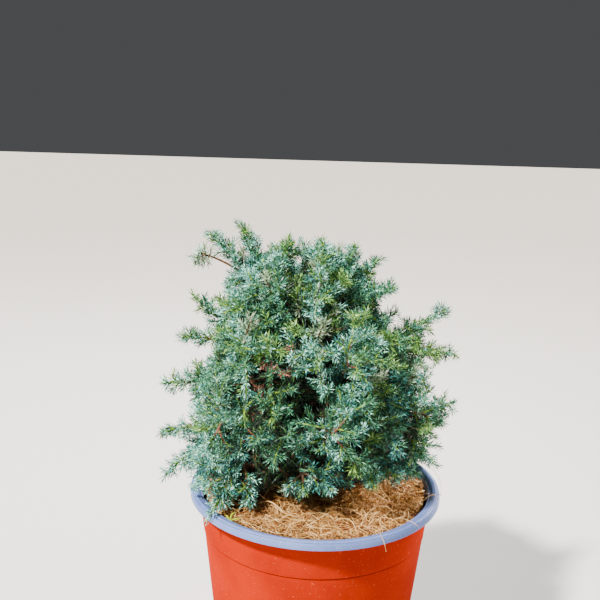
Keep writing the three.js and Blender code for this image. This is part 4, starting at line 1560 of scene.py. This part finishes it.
# %% Needle finishes and pieces
TONE_SIZE, NEEDLE_GLOSS, SHEEN = 2, 0.32, 0.1
MOST_NEEDLES = 32000
NEEDLE_TONES = {
    # kind: pale, middle and deep tone, roughness
    "glaucous": ("#b4f4e4", "#4c9c92", "#185854", 0.34),
    "blue_green": ("#50a8a4", "#1f6864", "#083434", 0.34),
    "leaf_green": ("#66b08a", "#2c6c56", "#0a362c", 0.36),
    "shaded": ("#113823", "#072114", "#021009", 0.5),
    "fresh": ("#94bc60", "#4f8642", "#285a2e", 0.38),
    "bleached": ("#b0c6a8", "#7e967a", "#4e6e52", 0.5),
    "dried": ("#a06c5e", "#77463a", "#4a2a21", 0.6),
}


def needle_finish(kind):
    """A waxed leaf: sheen for the bloom, three tones by a noise of a few millimetres."""
    pale, middle, deep, roughness = NEEDLE_TONES[kind]
    wax = {"Specular IOR Level": NEEDLE_GLOSS, "Sheen Weight": SHEEN, "Sheen Roughness": 0.5}
    return blotched_finish(
        f"{kind}_needles",
        {"Roughness": roughness, **wax},
        noise={"Scale": waves_per_metre(TONE_SIZE), "Detail": 1.0},
        stops=[(0.4, deep), (0.5, middle), (0.6, pale)],
    )


def needle_pieces(own, label, finish, replaced):
    """The needles as one piece, or dealt out by turns over as many as keep each small enough."""
    parts = math.ceil(len(own) / MOST_NEEDLES)
    for part in range(parts):
        some = own[part::parts]
        faces = NEEDLE_FACES[None] + (np.arange(len(some)) * some.shape[1])[:, None, None]
        name = label if parts == 1 else f"{label}_{part + 1}"
        shape = some.reshape(-1, 3), [faces.reshape(-1, 3)]
        make_piece(name, *shape, finish, "needle_foliage", replaced, smooth=False)


finishes = [needle_finish(kind) for kind in KINDS]
for tier, (tier_name, *_) in enumerate(TIERS):
    tier_nodes = [node for node in foliage_nodes if tier_name in node]
    for kind, kind_name in enumerate(KINDS):
        own = needle_points[(needle_tier == tier) & (needle_kind == kind)]
        needle_pieces(own, f"needles_{tier_name}_{kind_name}", finishes[kind], tier_nodes)

# %% [markdown]
# The studio is plain: a pale floor, a pale sky that fills the shadows, and a far, small key light
# from the upper left front. It gives the needles their sparkle and lights the floor evenly out to
# the horizon. A weak lamp low in front opens the shadows, and one behind lights the top. A narrow
# one at the right shines in under the crown, where the coir would be lost in shadow.

# %% Floor and light
from mathutils import Matrix

FLOOR_HALF, FLOOR_COLOUR = 6.0, "#cbc9c5"
SKY_COLOUR, SKY_STRENGTH = "#e9edf2", 0.09
ORIGIN, CROWN, UNDER_CROWN = (0.0, 0.0, 0.0), (0.0, 0.0, 0.2), (0.03, 0.0, 0.147)
SNOOT = {"spot_size": math.radians(21), "spot_blend": 0.7, "shadow_soft_size": 0.03}
LAMPS = [
    # name, kind, place and target in metres, strength or watts, colour, further settings
    ("snoot", "SPOT", (0.4, 0.17, 0.32), UNDER_CROWN, 38.0, "#fff0dc", SNOOT),
    ("key", "SUN", (-0.92, -0.74, 1.4), ORIGIN, 13.5, "#fff6ea", {"angle": math.radians(5)}),
    ("fill", "AREA", (0.1, -1.2, 0.3), CROWN, 1.2, "#fff4e6", {"shape": "DISK", "size": 0.4}),
    ("rim", "AREA", (-0.25, 0.5, 1.3), CROWN, 42.0, "#ffffff", {"shape": "DISK", "size": 0.5}),
]
floor_corners = [(-1, -1), (1, -1), (1, 1), (-1, 1)]
floor_mesh = bpy.data.meshes.new("floor")
floor_mesh.from_pydata(
    [(x * FLOOR_HALF, y * FLOOR_HALF, 0) for x, y in floor_corners], [], [(0, 1, 2, 3)]
)
floor = bpy.data.objects.new("floor", floor_mesh)
bpy.context.scene.collection.objects.link(floor)
floor_values = {"Roughness": 0.8, "Base Color": linear(FLOOR_COLOUR)}
floor_mesh.materials.append(new_finish("pale_floor", floor_values)[0])

world = bpy.data.worlds.new("studio")
world.use_nodes = True
sky = world.node_tree.nodes["Background"].inputs
sky["Color"].default_value = linear(SKY_COLOUR)
sky["Strength"].default_value = SKY_STRENGTH
bpy.context.scene.world = world


def facing(place, target):
    """A rotation whose -Z looks from a place to a target, with +Y up."""
    back = unit(np.subtract(place, target))
    right = unit(np.cross(UP, back))
    return Matrix(np.stack([right, np.cross(back, right), back], axis=1).tolist()).to_4x4()


for name, kind, place, target, power, code, settings in LAMPS:
    lamp = bpy.data.lights.new(name, kind)
    lamp.energy = power
    lamp.color = linear(code)[:3]
    for label, value in settings.items():
        setattr(lamp, label, value)
    holder = bpy.data.objects.new(name, lamp)
    bpy.context.scene.collection.objects.link(holder)
    holder.matrix_world = Matrix.Translation(place) @ facing(place, target)
print("lamps:", [name for name, *_ in LAMPS])

# %% [markdown]
# The camera stands where the photographer's did, found from the rim of the pot: its ellipse
# gives the height and tilt, and the pot's sides the lens. It looks 13 degrees down, a touch
# rolled, through a lens of 51 mm.

# %% Camera
CAMERA_PLACE = (-0.0129, -0.6046, 0.4326)
PITCH, ROLL, YAW = math.radians(13.08), math.radians(1.68), math.radians(-0.25)
LENS, SENSOR = 51.0, 36.0
level_ahead = np.array([math.sin(YAW), math.cos(YAW), 0.0])
ahead = level_ahead * math.cos(PITCH) - UP * math.sin(PITCH)
right = np.array([math.cos(YAW), -math.sin(YAW), 0.0])
above = np.cross(right, ahead)
rolled_right = right * math.cos(ROLL) + above * math.sin(ROLL)
rolled_up = above * math.cos(ROLL) - right * math.sin(ROLL)
camera_data = bpy.data.cameras.new("camera")
camera_data.lens = LENS
camera_data.sensor_width = SENSOR
camera = bpy.data.objects.new("camera", camera_data)
bpy.context.scene.collection.objects.link(camera)
axes = Matrix(np.stack([rolled_right, rolled_up, -ahead], axis=1).tolist()).to_4x4()
camera.matrix_world = Matrix.Translation(CAMERA_PLACE) @ axes
bpy.context.scene.camera = camera
print("camera at", [round(v, 3) for v in CAMERA_PLACE])
